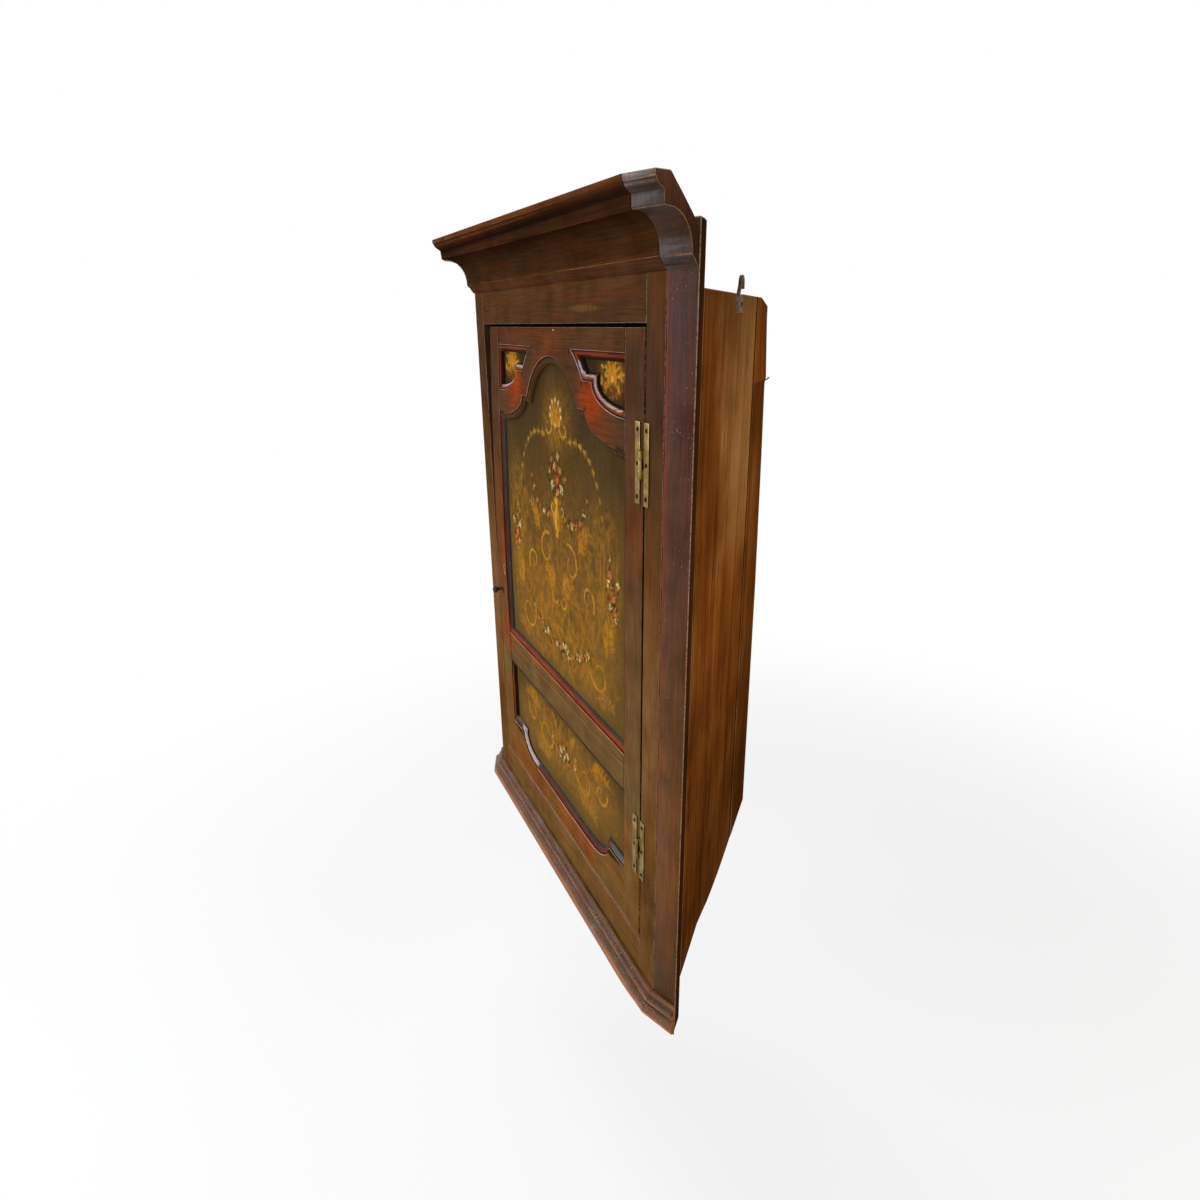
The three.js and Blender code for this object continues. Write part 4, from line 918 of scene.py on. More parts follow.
def closed(points):
    # the second board of a side is butted tight against the first
    side = np.sign(points[:, 0].mean())
    pastSeam = alongWall(points, side) + bareLook["seamLean"] * points[:, 2]
    atSeam = pastSeam < bareLook["seamFoot"] + rearStep["atSeam"]
    moved = points.copy()
    moved[atSeam, :2] += np.array([side, -1]) * rearStep["tighten"] * diagonal
    return moved


def warped(points):
    # the right rear board has warped outwards, and a patch at its top stands proud of the rest
    points = closed(points)
    start, full = rearStep["from"], rearStep["to"]
    share = np.clip((alongWall(points, 1) - start) / (full - start), 0, 1)
    out = share * np.interp(points[:, 2] / mm, rearStep["levels"], rearStep["outward"]) * mm
    moved = points.copy()
    moved[:, :2] += (out * diagonal)[:, None]
    return moved


def reshapeOf(node):
    if node.startswith("cornice"):
        return leaned
    return {"rear_board_right": warped, "rear_board_left": closed, "base_moulding_front": wornFoot,
            "base_moulding_return_right": wornFoot}.get(node)


def dressCase():
    patchCuts = {"rear_board_right": (rearStep["height"], rearStep["height"] + rearStep["ledge"])}
    order = 1
    for name, group in caseBoards.items():
        for node in group["nodes"]:
            dressBoard(node, order, group["finish"], group["ease"],
                       [("along", group["length"])], group["dent"], backFinish=group["back"],
                       reshape=reshapeOf(node), endFinish=group.get("end"))
            order += 1
    for group in bareBoards.values():
        for node in group["nodes"]:
            dressBoard(node, order, group["finish"], group["ease"],
                       [("along", group["length"])], group["dent"], reshape=reshapeOf(node),
                       extraCuts=patchCuts.get(node, ()))
            order += 1


dressCase()
print("case dressed")


# The door: red mouldings round its panels, with painted highlights, painted blue-grey sheen and painted
# shade on them, and a slight twist that sets the top corner on the latch side back from the frame

door = {
    "panelHalf": 262 * mm,
    "spandrelTop": 962.5 * mm,
    "spandrelStep": 922 * mm,
    "spandrelFoot": 883.5 * mm,
    "lockRailTop": 403 * mm,
    "lockRailBottom": 343.5 * mm,
    "shoulder": 199 * mm,
    "lowerRailTop": 156 * mm,
    "archHalfWidth": 109 * mm,
    "archRise": 67 * mm,
    "bandWidth": 36.4 * mm,
    "lobeWidth": 128 * mm,
    "lobeDepth": 41 * mm,
    "sweepWidth": 104 * mm,
    "sweepDepth": 38.5 * mm,
    "shoulderWidth": 57 * mm,
    "lowerSweep": 74 * mm,
    "trimDepth": 12 * mm,                               # how deep a moulded edge goes, and its reach
    "trimReach": 13 * mm,
    "sideRedTop": 840 * mm,                             # up to here the sides of the upper opening are red
    "archOrangeTop": 905 * mm,
    "twist": 10 * mm,
    "twistStart": 0.5,
    "gap": 0.3 * mm,
    "scribedLine": (383.2 * mm, 1.4 * mm, 0.6 * mm),
}
door["archRadius"] = (door["archHalfWidth"] ** 2 + door["archRise"] ** 2) / (2 * door["archRise"])
door["archCentre"] = door["spandrelFoot"] + door["archRise"] - door["archRadius"]
# pale is rubbed arrises and painted highlights, the slate tints are painted sheen, and shade is painted shade
trimColours = {
    "vermilion": "#8c3210",
    "brick": "#782c12",
    "darkRed": "#6a2810",
    "deepRed": "#4c2217",
    "archBrown": "#432c13",
    "archOrange": "#6b3a18",
    "slate": "#5f5c5c",
    "pale": "#ab9d98",
    "dimSlateSheen": "#3b3c3b",
    "shade": "#21150b",
    "rubbed": "#a8755a",
}


def twisted(points):
    moved = points.copy()
    fromHinge = np.clip((doorHigh.x - points[:, 0]) / (doorHigh.x - doorLow.x), 0, 1)
    up = np.clip((points[:, 2] - door["twistStart"]) / (doorHigh.z - door["twistStart"]), 0, 1)
    moved[:, 1] += door["twist"] * fromHinge ** 1.5 * up ** 2
    return moved


trimDepths = {
    "quirk": 1.2 * mm,
    "round": 2.1 * mm,
    "foot": 3 * mm,
    "lateFoot": 4.2 * mm,
    "deepFoot": 6 * mm,
}


def bulge(x, width):
    # how far a lobe or sweep stands out at x: from 0 at its inner end to 1 at the stile
    return np.clip(1 - ((door["panelHalf"] - x) / width) ** 2, 0, 1)


def stickingTrims(points):
    # which colour the moulded edge has at each place, by the opening that it belongs to: paint and wear, with
    # painted highlights and sheen on the sweeps, the shoulders and the left sides, and painted shade in the
    # quirks, at the feet and under the lock rail
    x, depth, z = np.abs(points[:, 0]), points[:, 1] - faceY - door["gap"], points[:, 2]
    side = np.sign(points[:, 0])
    colours = np.zeros((len(points), 4))
    radius = np.hypot(x, z - door["archCentre"])
    middle = door["archRadius"] + door["bandWidth"] / 2
    half, reach, late = door["panelHalf"], door["trimReach"], trimDepths["lateFoot"]
    lobe = bulge(x, door["lobeWidth"])
    lobeLine = door["spandrelFoot"] - door["lobeDepth"] * np.sqrt(lobe) + door["lobeDepth"] / 2
    spandrel = (radius > middle) & (z > lobeLine) & (z > door["spandrelFoot"] - 2 * mm)
    upper = ~spandrel & (z > (door["lockRailTop"] + door["lockRailBottom"]) / 2)
    lower = ~spandrel & ~upper
    atSide = x > half - reach
    atFoot = lower & (z < door["shoulder"] + reach)

    def give(where, arrisTint, crown, foot, footDepth=trimDepths["foot"]):
        # the line along the arris, the quirk in painted shade, the round of the ovolo and its foot at the
        # panel
        for deep, tint in ((depth < trimDepths["quirk"], arrisTint), (depth >= trimDepths["quirk"], "shade"),
                           (depth > trimDepths["round"], crown), (depth > footDepth, foot)):
            colours[where & deep, :3] = linear(trimColours[tint])[:3]

    give(upper, "rubbed", "archBrown", "archBrown")
    archEnds = (x > door["archHalfWidth"] - 12 * mm) & (x < door["archHalfWidth"] + 4 * mm)
    archFoot = (z > door["spandrelFoot"] - 2 * mm) & (z < door["archOrangeTop"])
    give(upper & archEnds & archFoot, "rubbed", "archOrange", "archBrown")
    give(upper & atSide & (z < door["sideRedTop"]), "deepRed", "deepRed", "shade")
    give(upper & atSide & (side < 0) & (z < door["sideRedTop"]), "deepRed", "deepRed", "dimSlateSheen", late)
    give(upper & (z < door["lockRailTop"] + reach), "rubbed", "vermilion", "dimSlateSheen", late)
    give(lower, "rubbed", "vermilion", "shade")
    give(lower & (z > door["lockRailBottom"] - reach), "shade", "shade", "shade")
    give(atFoot & ~atSide, "pale", "darkRed", "dimSlateSheen", late)
    give(atFoot & (x > half - door["shoulderWidth"]), "rubbed", "slate", "dimSlateSheen", trimDepths["deepFoot"])
    give(atFoot & (side < 0) & (x > half - door["shoulderWidth"] + 5 * mm), "pale", "darkRed", "slate", late)
    give(atFoot & (side < 0) & (x > half - 135 * mm) & (x < half - 50 * mm), "darkRed", "pale", "shade",
         trimDepths["deepFoot"])
    give(spandrel, "pale", "pale", "shade")
    give(spandrel & (z > door["spandrelTop"] - reach), "pale", "brick", "shade")
    give(spandrel & atSide, "pale", "brick", "shade")
    onSweep = spandrel & ~atSide & (z < door["spandrelStep"] + reach) & (z < door["spandrelTop"] - 14 * mm)
    give(onSweep, "pale", "vermilion", "pale")
    give(onSweep & (depth > late), "shade", "shade", "shade")
    # only the moulded edges take these colours, and nothing beyond the openings
    colours[:, 3] = np.clip((depth - 0.15 * mm) / (0.2 * mm), 0, 1) * (depth < door["trimDepth"])
    colours[(depth < trimDepths["quirk"]) & (x > half - 1.6 * mm), 3] = 0
    colours[(z > door["spandrelTop"] + 0.1 * mm) | (z < door["lowerRailTop"] - 0.1 * mm), 3] = 0
    colours[x > half + 0.1 * mm, 3] = 0
    return colours


blushes = [
    # x, z and reach in mm, and how red
    (165, 900, 48, 0.9), (-165, 900, 45, 0.7), (0, 915, 80, 0.3), (170, 870, 60, 0.4),
    (-170, 870, 60, 0.2), (-283, 400, 55, 0.45), (-280, 600, 160, 0.25), (40, 147, 95, 0.35),
    (-110, 150, 90, 0.3), (120, 140, 40, 0.35), (-200, 120, 120, 0.25), (288, 720, 60, 0.15),
]


blushFade = {"edge": 1.35, "curve": 1.3, "patchesPerMetre": 14, "patchiness": 0.5}


def doorBlush(points):
    # the red first coat shows round the arch, at the lock and round the sweep at the foot
    red = np.zeros(len(points))
    for x, z, reach, strength in blushes:
        away = np.hypot(points[:, 0] / mm - x, points[:, 2] / mm - z) / reach
        cover = np.clip(blushFade["edge"] - away, 0, 1) ** blushFade["curve"]
        red = np.maximum(red, strength * cover)
    patches = np.array([noise.noise(Vector(p) * blushFade["patchesPerMetre"]) for p in points])
    return np.clip(red * (1 + blushFade["patchiness"] * patches), 0, 1)


doorBoards = ["door_rail_top", "door_rail_lock", "door_rail_bottom", "door_stile_left", "door_stile_right"]


def dressDoor():
    for order, node in enumerate(doorBoards, start=60):
        dressBoard(node, order, "doorPaint", 0.9 * mm,
                   [((1, 0, 0), 14 * mm), ((0, 0, 1), 14 * mm)], 0.6 * mm,
                   backFinish="innerOak", reshape=twisted, trimOf=stickingTrims,
                   trimFinish="mouldingPaint", blushOf=doorBlush,
                   scribed=door["scribedLine"] if node == "door_rail_lock" else None)


dressDoor()
print("door frame dressed")


# Painted panels: an olive ground, and on it gilt scrolls, shell and urn, with husks, roses and garlands in
# cream, orange and red. All of it is thin, rubbed and browned by its varnish.

panelLook = {
    "step": 2.0 * mm,
    "fineStep": 1.2 * mm,
    "groove": 7 * mm,
    "lost": 0.62,
    "speckle": 2.4 * mm,
    "speckleTone": (0.7, 1.3),          # darkest and lightest
    "ridge": 0.15 * mm,
    "roughness": 0.5,
}
brushTints = {name: np.array(linear(tint)[:3]) for name, tint in {
    "groundTop": "#3c2e1c", "groundMiddle": "#513d20", "groundLow": "#5f4825", "cloud": "#8b6024",
    "spandrelGround": "#37291a",
    "gilt": "#b0741c", "paleGilt": "#c99b45", "ochre": "#986a28", "cream": "#cdbf86", "orange": "#c05f1e",
    "red": "#c23c22", "rose": "#c47a52", "leaf": "#2b2712", "line": "#3a240e",
}.items()}


def newArt(x, z, low, high, grounds):
    # the bare ground of a panel, darker towards its top and uneven from the brush
    art = {"x": x / mm, "z": z / mm}
    share = np.clip((z - low) / (high - low), 0, 1)[:, None]
    foot, middle, head = (brushTints[ground] for ground in grounds)
    lower = foot * (1 - share * 2) + middle * share * 2
    upper = middle * (2 - share * 2) + head * (share * 2 - 1)
    art["colour"] = np.where(share < 0.5, lower, upper)
    clouds = [noise.noise(Vector((a / 60, b / 85, 0.3))) + 0.6 * noise.noise(Vector((a / 7, b / 42, 3.1)))
              for a, b in zip(art["x"], art["z"])]
    art["colour"] *= (1 + 0.22 * np.array(clouds))[:, None]
    kept = [noise.noise(Vector((a / 9, b / 11, 7.7))) + 0.7 * noise.noise(Vector((a / 3.1, b / 3.6, 1.9)))
            for a, b in zip(art["x"], art["z"])]
    art["kept"] = np.clip(0.78 + panelLook["lost"] * np.array(kept), 0.12, 1)
    return art


def goldHaze(art, spot, reach, strength):
    # thin bronze colour, wiped on in curls and nearly rubbed away again
    where = np.flatnonzero(np.hypot((art["x"] - spot[0]) / reach[0], (art["z"] - spot[1]) / reach[1]) < 1)
    away = np.hypot((art["x"][where] - spot[0]) / reach[0], (art["z"][where] - spot[1]) / reach[1])
    curl = np.zeros(len(where))
    for row, (a, b) in enumerate(zip(art["x"][where], art["z"][where])):
        bend = 17 * noise.noise(Vector((a / 34, b / 40, 5.0)))
        turn = 17 * noise.noise(Vector((a / 38, b / 30, 9.0)))
        curl[row] = 1 - 2.6 * abs(noise.noise(Vector(((a + bend) / 15, (b + turn) / 24, 2.0))))
    cover = np.clip(curl, 0, 1) ** 1.5 * np.clip(1.25 - away * 1.25, 0, 1) ** 0.6
    lay(art, where, cover, "gilt", strength)


def lay(art, where, cover, tint, strength):
    cover = (cover * strength * art["kept"][where])[:, None]
    art["colour"][where] = art["colour"][where] * (1 - cover) + brushTints[tint] * cover


def touch(art, spot, reach, tint, turn=0.0, strength=1.0, soft=0.45):
    # one oval touch of the brush
    far = max(reach) * (1 + soft)
    where = np.flatnonzero((np.abs(art["x"] - spot[0]) < far) & (np.abs(art["z"] - spot[1]) < far))
    dx, dz = art["x"][where] - spot[0], art["z"][where] - spot[1]
    c, s = math.cos(turn), math.sin(turn)
    away = np.hypot((dx * c + dz * s) / reach[0], (dz * c - dx * s) / reach[1])
    lay(art, where, np.clip((1 + soft / 2 - away) / soft, 0, 1), tint, strength)


def stroke(art, points, start, end, tint, strength=1.0):
    # a stroke along a path, from one half width to another
    points = np.asarray(points)
    widths = start + (end - start) * np.linspace(0, 1, len(points))
    pad = widths.max() + 3
    lowEdge, highEdge = points.min(0) - pad, points.max(0) + pad
    where = np.flatnonzero((art["x"] > lowEdge[0]) & (art["x"] < highEdge[0])
                           & (art["z"] > lowEdge[1]) & (art["z"] < highEdge[1]))
    cover = np.zeros(len(where))
    for (px, pz), width in zip(points, widths):
        away = np.hypot(art["x"][where] - px, art["z"][where] - pz)
        cover = np.maximum(cover, np.clip((width + 0.9 - away) / 1.3, 0, 1))
    lay(art, where, cover, tint, strength)


def towards(bearing):
    return np.array([math.cos(bearing), math.sin(bearing)])


def sweep(a, b, c, d, count=26):
    # a smooth path from a to d, pulled towards b and c
    t = np.linspace(0, 1, count)[:, None]
    a, b, c, d = (np.array(p, float) for p in (a, b, c, d))
    return (1 - t) ** 3 * a + 3 * (1 - t) ** 2 * t * b + 3 * (1 - t) * t ** 2 * c + t ** 3 * d


def volute(centre, radius, angle, turns, side, tighten=0.3):
    # a spiral that winds inwards
    count = int(abs(turns) * 30) + 8
    t = np.linspace(0, 1, count)
    reach = radius * tighten ** t
    bearing = angle + turns * 2 * math.pi * t
    return np.stack([centre[0] + side * reach * np.cos(bearing), centre[1] + reach * np.sin(bearing)], 1)


def scroll(art, centre, radius, angle, turns, side, width=3.0, strength=0.85):
    # a gilt C-scroll with a shaded back, a lit edge and leaves along its outside
    path = volute(centre, radius, angle, turns, side)
    stroke(art, path + np.array([0.8, -1.2]), width + 1.2, 1.6, "line", 0.45)
    stroke(art, path, width, 1.3, "gilt", strength)
    lit = path[:len(path) * 2 // 3]
    stroke(art, lit + np.array([-0.6, 0.9]), width * 0.35, 0.5, "paleGilt", strength * 0.9)
    for place in range(4, len(lit), 7):
        out = path[place] - np.array(centre)
        lean = math.atan2(out[1], out[0]) + side * 0.5
        tip = path[place] + 7.5 * towards(lean)
        touch(art, (path[place] + tip) / 2, (5.2, 2.0), "ochre", lean, strength * 0.8)


def leafSpray(art, root, bearing, length, count, side, tint="gilt", strength=0.75):
    # a stem with paired leaves that shorten to its tip
    bearing = bearing if side > 0 else math.pi - bearing
    heading = towards(bearing)
    across = np.array([-heading[1], heading[0]])
    root = np.array(root, float)
    bow = across * length * 0.16 * side
    stem = sweep(root, root + heading * length * 0.3 + bow, root + heading * length * 0.7 + bow,
                 root + heading * length)
    stroke(art, stem, 1.5, 0.6, tint, strength)
    for step in range(1, count + 1):
        at = stem[int(len(stem) * step / (count + 1))]
        size = length * 0.2 * (1.15 - 0.6 * step / count)
        for hand in (-1, 1):
            lean = bearing + hand * 0.8
            middle = at + size * 0.8 * towards(lean)
            touch(art, middle, (size, size * 0.32), tint, lean, strength * 0.9)


def flower(art, spot, size, petals, heart, turn=0.0):
    # a loose blossom of quick dabs, on dark leaves
    random = np.random.default_rng(int(abs(spot[0]) * 13 + spot[1] * 7 + (spot[0] > 0)))
    spot = np.array(spot)
    for step in range(3):
        bearing = turn + step * 2.1 + 0.6
        out = towards(bearing) * size * 1.05
        touch(art, spot + out, (size * 0.66, size * 0.28), "leaf", bearing, 0.7)
    for step in range(7):
        bearing = turn + step * 0.9 + random.normal(0, 0.35)
        out = towards(bearing) * size * random.uniform(0.25, 0.7)
        tint = petals if random.random() < 0.72 else heart
        touch(art, spot + out, (size * random.uniform(0.2, 0.4), size * random.uniform(0.14, 0.26)), tint,
              bearing + random.normal(0, 0.6), random.uniform(0.55, 1.0))
    touch(art, spot, (size * 0.22, size * 0.18), heart, turn, 0.9)


def garland(art, a, b, sag, count, tints, size):
    # flowers strung between two points, larger towards the middle
    middle = (np.array(a) + np.array(b)) / 2 - np.array([0, sag * 4 / 3])
    pulls = [(end[0] * 0.6 + middle[0] * 0.4, middle[1]) for end in (a, b)]
    path = sweep(a, *pulls, b, count)
    stroke(art, sweep(path[0], path[len(path) // 3], path[-len(path) // 3], path[-1]), 1.2, 1.2, "leaf", 0.5)
    random = np.random.default_rng(count * 31 + int(abs(a[0])))
    for step, spot in enumerate(path):
        swell = size * (0.7 + 0.5 * math.sin(math.pi * step / (count - 1))) * random.uniform(0.75, 1.2)
        strayed = np.array(spot) + random.normal(0, 0.28, 2) * size
        flower(art, strayed, swell, tints[step % len(tints)], "orange" if step % 2 else "line", step * 1.3)


def husks(art, path, size, strength=0.4):
    # bellflower husks that hang in a row and grow smaller
    stroke(art, path, 0.7, 0.5, "ochre", 0.4)
    for step in range(1, len(path) - 1, 3):
        heading = path[step + 1] - path[step - 1]
        bearing = math.atan2(heading[1], heading[0])
        now = size * (1 - 0.5 * step / len(path))
        for hand in (-0.45, 0, 0.45):
            touch(art, path[step] + now * 0.5 * towards(bearing + hand), (now * 0.72, now * 0.22),
                  "paleGilt" if hand == 0 else "gilt", bearing + hand, strength)


def shell(art, spot, size):
    # a fan of nine ribs, each with a lit end
    root = np.array(spot)
    for step in range(-4, 5):
        bearing = math.pi / 2 + step * 0.33
        long = size * (1 - 0.035 * step * step)
        tip = root + long * towards(bearing)
        middle = (root + tip) / 2
        stroke(art, sweep(root, middle, middle, tip, 14), 1.0, 3.4, "gilt", 0.9)
        touch(art, tip, (3.4, 2.6), "cream", bearing, 0.9)
        stroke(art, [root * 0.4 + tip * 0.6, tip], 0.8, 1.2, "paleGilt", 0.9)
    touch(art, spot, (6.5, 4.5), "paleGilt", 0, 0.9)


def urn(art, foot, tall):
    # a footed vase, turned with light from the left
    for level in np.linspace(0, 1, 34):
        belly = 5 + 16 * math.sin(math.pi * min(1, level * 1.15)) ** 1.4 if level > 0.16 else 9 - 25 * level
        half = belly if level < 0.86 else 11 + 40 * (level - 0.86)
        at = foot[1] + tall * level
        touch(art, (foot[0], at), (half, tall / 30), "gilt", 0, 0.8)
        touch(art, (foot[0] - half * 0.4, at), (half * 0.28, tall / 34), "paleGilt", 0, 0.7)
        touch(art, (foot[0] + half * 0.62, at), (half * 0.3, tall / 34), "line", 0, 0.5)
    for side in (-1, 1):
        handle = volute((foot[0] + side * 19, foot[1] + tall * 0.76), 9, -1.2, 0.75, side)
        stroke(art, handle, 1.6, 1.0, "paleGilt", 0.9)


def paintUpper(art):
    for spot, reach, strength in (((0, 640), (170, 150), 0.3), ((-120, 520), (105, 90), 0.45),
                                  ((125, 515), (105, 95), 0.45), ((0, 860), (60, 55), 0.4),
                                  ((0, 460), (190, 42), 0.35), ((205, 640), (45, 110), 0.3),
                                  ((-205, 640), (45, 110), 0.3)):
        touch(art, spot, reach, "cloud", 0, strength, 0.9)
    for spot, reach, strength in (((-20, 500), (235, 105), 0.62), ((165, 640), (75, 130), 0.55),
                                  ((-185, 650), (65, 140), 0.55), ((0, 640), (120, 110), 0.3),
                                  ((0, 850), (62, 50), 0.45)):
        goldHaze(art, spot, reach, strength)
    random = np.random.default_rng(1750)
    for _ in range(40):
        spot = (random.uniform(20, 235), random.uniform(430, 700))
        radius, angle, turns = random.uniform(9, 24), random.uniform(0, 6.2), random.choice([-0.8, 0.8, 0.6])
        for side in (-1, 1):
            path = volute((side * spot[0] + random.normal(0, 1.5), spot[1]), radius, angle, turns, side)
            stroke(art, path, 1.6, 0.7, "ochre", random.uniform(0.2, 0.45))
    shell(art, (0, 846), 40)
    for side in (-1, 1):
        scroll(art, (side * 33, 843), 19, 2.5, 0.85, side)
        husks(art, sweep((side * 44, 826), (side * 110, 842), (side * 158, 806), (side * 176, 722), 28), 13)
        scroll(art, (side * 52, 632), 34, 1.9, -1.0, side, 3.6)
        scroll(art, (side * 118, 596), 27, -0.6, 0.9, side, 3.0)
        leafSpray(art, (side * 84, 662), 0.75, 62, 6, side)
        leafSpray(art, (side * 20, 616), -1.15, 52, 5, side, "ochre")
        scroll(art, (side * 158, 486), 42, 2.6, 1.0, side, 4.0)
        leafSpray(art, (side * 186, 528), 1.25, 74, 6, side)
        leafSpray(art, (side * 146, 440), 0.1, 66, 5, side, "ochre")
        garland(art, (side * 196, 682), (side * 214, 596), 4, 6, ("cream", "rose", "cream"), 8)
        for spot, size, petals in (((206, 628), 13, "red"), ((190, 646), 10, "cream"),
                                   ((222, 650), 9, "cream"), ((214, 606), 9, "orange"),
                                   ((197, 612), 8, "cream")):
            flower(art, (side * spot[0], spot[1]), size, petals, "orange", spot[0])
        garland(art, (side * 20, 704), (side * 118, 748), 26, 8, ("cream", "orange", "rose"), 8)
    urn(art, (0, 668), 62)
    bouquet = (((0, 762), 13, "red"), ((-19, 752), 11, "cream"), ((20, 750), 11, "cream"),
               ((-8, 782), 11, "cream"), ((14, 778), 10, "orange"), ((-30, 772), 9, "orange"),
               ((32, 768), 9, "rose"), ((2, 742), 9, "rose"), ((-22, 792), 8, "rose"), ((4, 800), 8, "cream"))
    for spot, size, petals in bouquet:
        flower(art, spot, size, petals, "orange" if petals != "orange" else "cream", spot[1])
    garland(art, (-128, 506), (128, 506), 34, 17, ("cream", "orange", "cream", "rose", "cream"), 9)
    for side in (-1, 1):
        leafSpray(art, (side * 12, 572), 0.5, 60, 5, side)
        scroll(art, (side * 22, 560), 17, 3.4, 0.8, side, 2.4)


def paintLower(art):
    goldHaze(art, (-20, 262), (225, 74), 0.7)
    for side in (-1, 1):
        touch(art, (side * 95, 255), (115, 66), "cloud", 0, 0.5, 0.8)
        scroll(art, (side * 92, 256), 42, 2.7, 1.0, side, 4.2)
        scroll(art, (side * 158, 270), 26, 0.2, -0.9, side, 3.2)
        leafSpray(art, (side * 60, 222), -0.25, 84, 7, side, "ochre")
        leafSpray(art, (side * 120, 292), 0.15, 72, 6, side)
        leafSpray(art, (side * 34, 290), 0.9, 34, 4, side)
    random = np.random.default_rng(86)
    for _ in range(34):
        spot = (random.uniform(15, 215), random.uniform(205, 318))
        for side in (-1, 1):
            path = volute((side * spot[0], spot[1]), random.uniform(8, 18), random.uniform(0, 6.2), 0.7, side)
            stroke(art, path, 1.5, 0.7, "ochre", random.uniform(0.2, 0.4))
    garland(art, (-58, 262), (58, 262), 18, 9, ("cream", "orange", "rose", "cream"), 8)
    for spot, size, petals in (((0, 268), 12, "orange"), ((-15, 258), 9, "cream"), ((16, 260), 9, "cream"),
                               ((1, 252), 8, "red")):
        flower(art, spot, size, petals, "cream", spot[0])


def paintSpandrel(side):
    def paint(art):
        heart = np.array([side * 206, 932.0])
        touch(art, heart, (36, 27), "gilt", 0, 0.25, 0.9)
        random = np.random.default_rng(7)
        for _ in range(60):
            bearing, far = random.uniform(0, 6.3), random.uniform(8, 37)
            at = heart + far * np.array([math.cos(bearing), 0.72 * math.sin(bearing) - 0.08])
            curl = volute(at, random.uniform(3, 7), random.uniform(0, 6.3), random.choice([-0.7, 0.7]), side)
            stroke(art, curl, 1.3, 0.6, random.choice(["gilt", "gilt", "paleGilt", "ochre", "orange"]),
                   random.uniform(0.35, 0.8))
        for step in range(-3, 4):
            bearing = math.pi / 2 + step * 0.52
            tip = heart + (24 - abs(step) * 1.5) * towards(bearing)
            touch(art, (heart + tip) / 2, (12, 3.0), "gilt", bearing, 0.85)
            touch(art, tip, (3.5, 2.2), "paleGilt", bearing, 0.7)
        for hand in (-1, 1):
            stroke(art, volute(heart + np.array([hand * 17, -9]), 11, 1.2, 0.8, hand), 2.0, 1.0, "gilt", 0.85)
        touch(art, heart - np.array([0, 4]), (5, 4), "paleGilt", 0, 0.8)
    return paint


def archAt(x, radius):
    return door["archCentre"] + np.sqrt(np.clip(radius ** 2 - x ** 2, 0, None))


def archOutline(x):
    # the head of the upper panel: two lobes, short steps and the arch
    x = np.abs(x)
    groove = panelLook["groove"]
    radius = door["archRadius"] + groove
    width, deep = door["lobeWidth"] - groove, door["lobeDepth"] - groove
    level = door["spandrelFoot"] + groove
    lobed = door["spandrelFoot"] - deep * np.sqrt(bulge(x, width))
    head = np.where(x > door["panelHalf"] - width, lobed, level)
    return np.where(x < door["archHalfWidth"] + groove, np.maximum(archAt(x, radius), level), head)


def spandrelOutline(x):
    # the foot of a spandrel panel: the arch's shoulder, a step and a hollow sweep
    x = np.abs(x)
    groove = panelLook["groove"]
    radius = door["archRadius"] + door["bandWidth"] - groove
    width, deep = door["sweepWidth"] + groove, door["sweepDepth"] + groove
    swept = door["spandrelStep"] - deep * np.sqrt(bulge(x, width))
    foot = np.where(x > door["panelHalf"] - width, swept, door["spandrelStep"] - groove)
    return np.maximum(foot, archAt(x, radius))


def lowerOutline(x):
    # the foot of the lower panel: level in the middle, then a sweep up to each shoulder
    x = np.abs(x)
    groove = panelLook["groove"]
    start = door["panelHalf"] - door["shoulderWidth"] - door["lowerSweep"]
    width = door["lowerSweep"] + groove
    deep = door["shoulder"] - door["lowerRailTop"] + groove
    curve = np.clip(1 - ((x - start) / width) ** 2, 0, 1)
    swept = door["shoulder"] - deep * np.sqrt(curve)
    return np.minimum(np.where(x < start, door["lowerRailTop"] - groove, swept), door["shoulder"] - groove)


paintedPanels = {
    "door_panel_upper": {"foot": None, "head": archOutline, "paint": paintUpper, "step": panelLook["step"],
                         "grounds": ("groundLow", "groundMiddle", "groundTop")},
    "door_panel_lower": {"foot": lowerOutline, "head": None, "paint": paintLower, "step": panelLook["step"],
                         "grounds": ("groundLow", "groundLow", "groundMiddle")},
    "door_spandrel_left": {"foot": spandrelOutline, "head": None, "paint": paintSpandrel(-1),
                           "step": panelLook["fineStep"], "grounds": ("spandrelGround",) * 3},
    "door_spandrel_right": {"foot": spandrelOutline, "head": None, "paint": paintSpandrel(1),
                            "step": panelLook["fineStep"], "grounds": ("spandrelGround",) * 3},
}


def paintedPanelFinish():
    # brushed colour under browned varnish: uneven to the eye, and dull
    material, tree = startMaterial("varnishedPainting")
    painting = addNode(tree, "ShaderNodeAttribute", attribute_name="painting").outputs["Color"]
    place = addNode(tree, "ShaderNodeTexCoord").outputs["Object"]
    speckle = addNode(tree, "ShaderNodeTexNoise",
                      {"Vector": place, "Scale": 1 / panelLook["speckle"], "Detail": 4.0,
                       "Roughness": 0.7}).outputs["Fac"]
    darkest, lightest = panelLook["speckleTone"]
    tone = addNode(tree, "ShaderNodeMapRange",
                   {"Value": speckle, "From Min": 0.3, "From Max": 0.7,
                    "To Min": darkest, "To Max": lightest}).outputs[0]
    toned = addNode(tree, "ShaderNodeVectorMath", {0: painting, "Scale": tone}, operation="SCALE").outputs[0]
    bump = addNode(tree, "ShaderNodeBump",
                   {"Height": speckle, "Strength": 0.4, "Distance": panelLook["ridge"]}).outputs[0]
    shader = addNode(tree, "ShaderNodeBsdfPrincipled",
                     {"Base Color": toned, "Roughness": panelLook["roughness"], "Specular IOR Level": 0.0,
                      "Normal": bump})
    addNode(tree, "ShaderNodeOutputMaterial", {0: shader.outputs[0]})
    return material


materials["varnishedPainting"] = paintedPanelFinish()


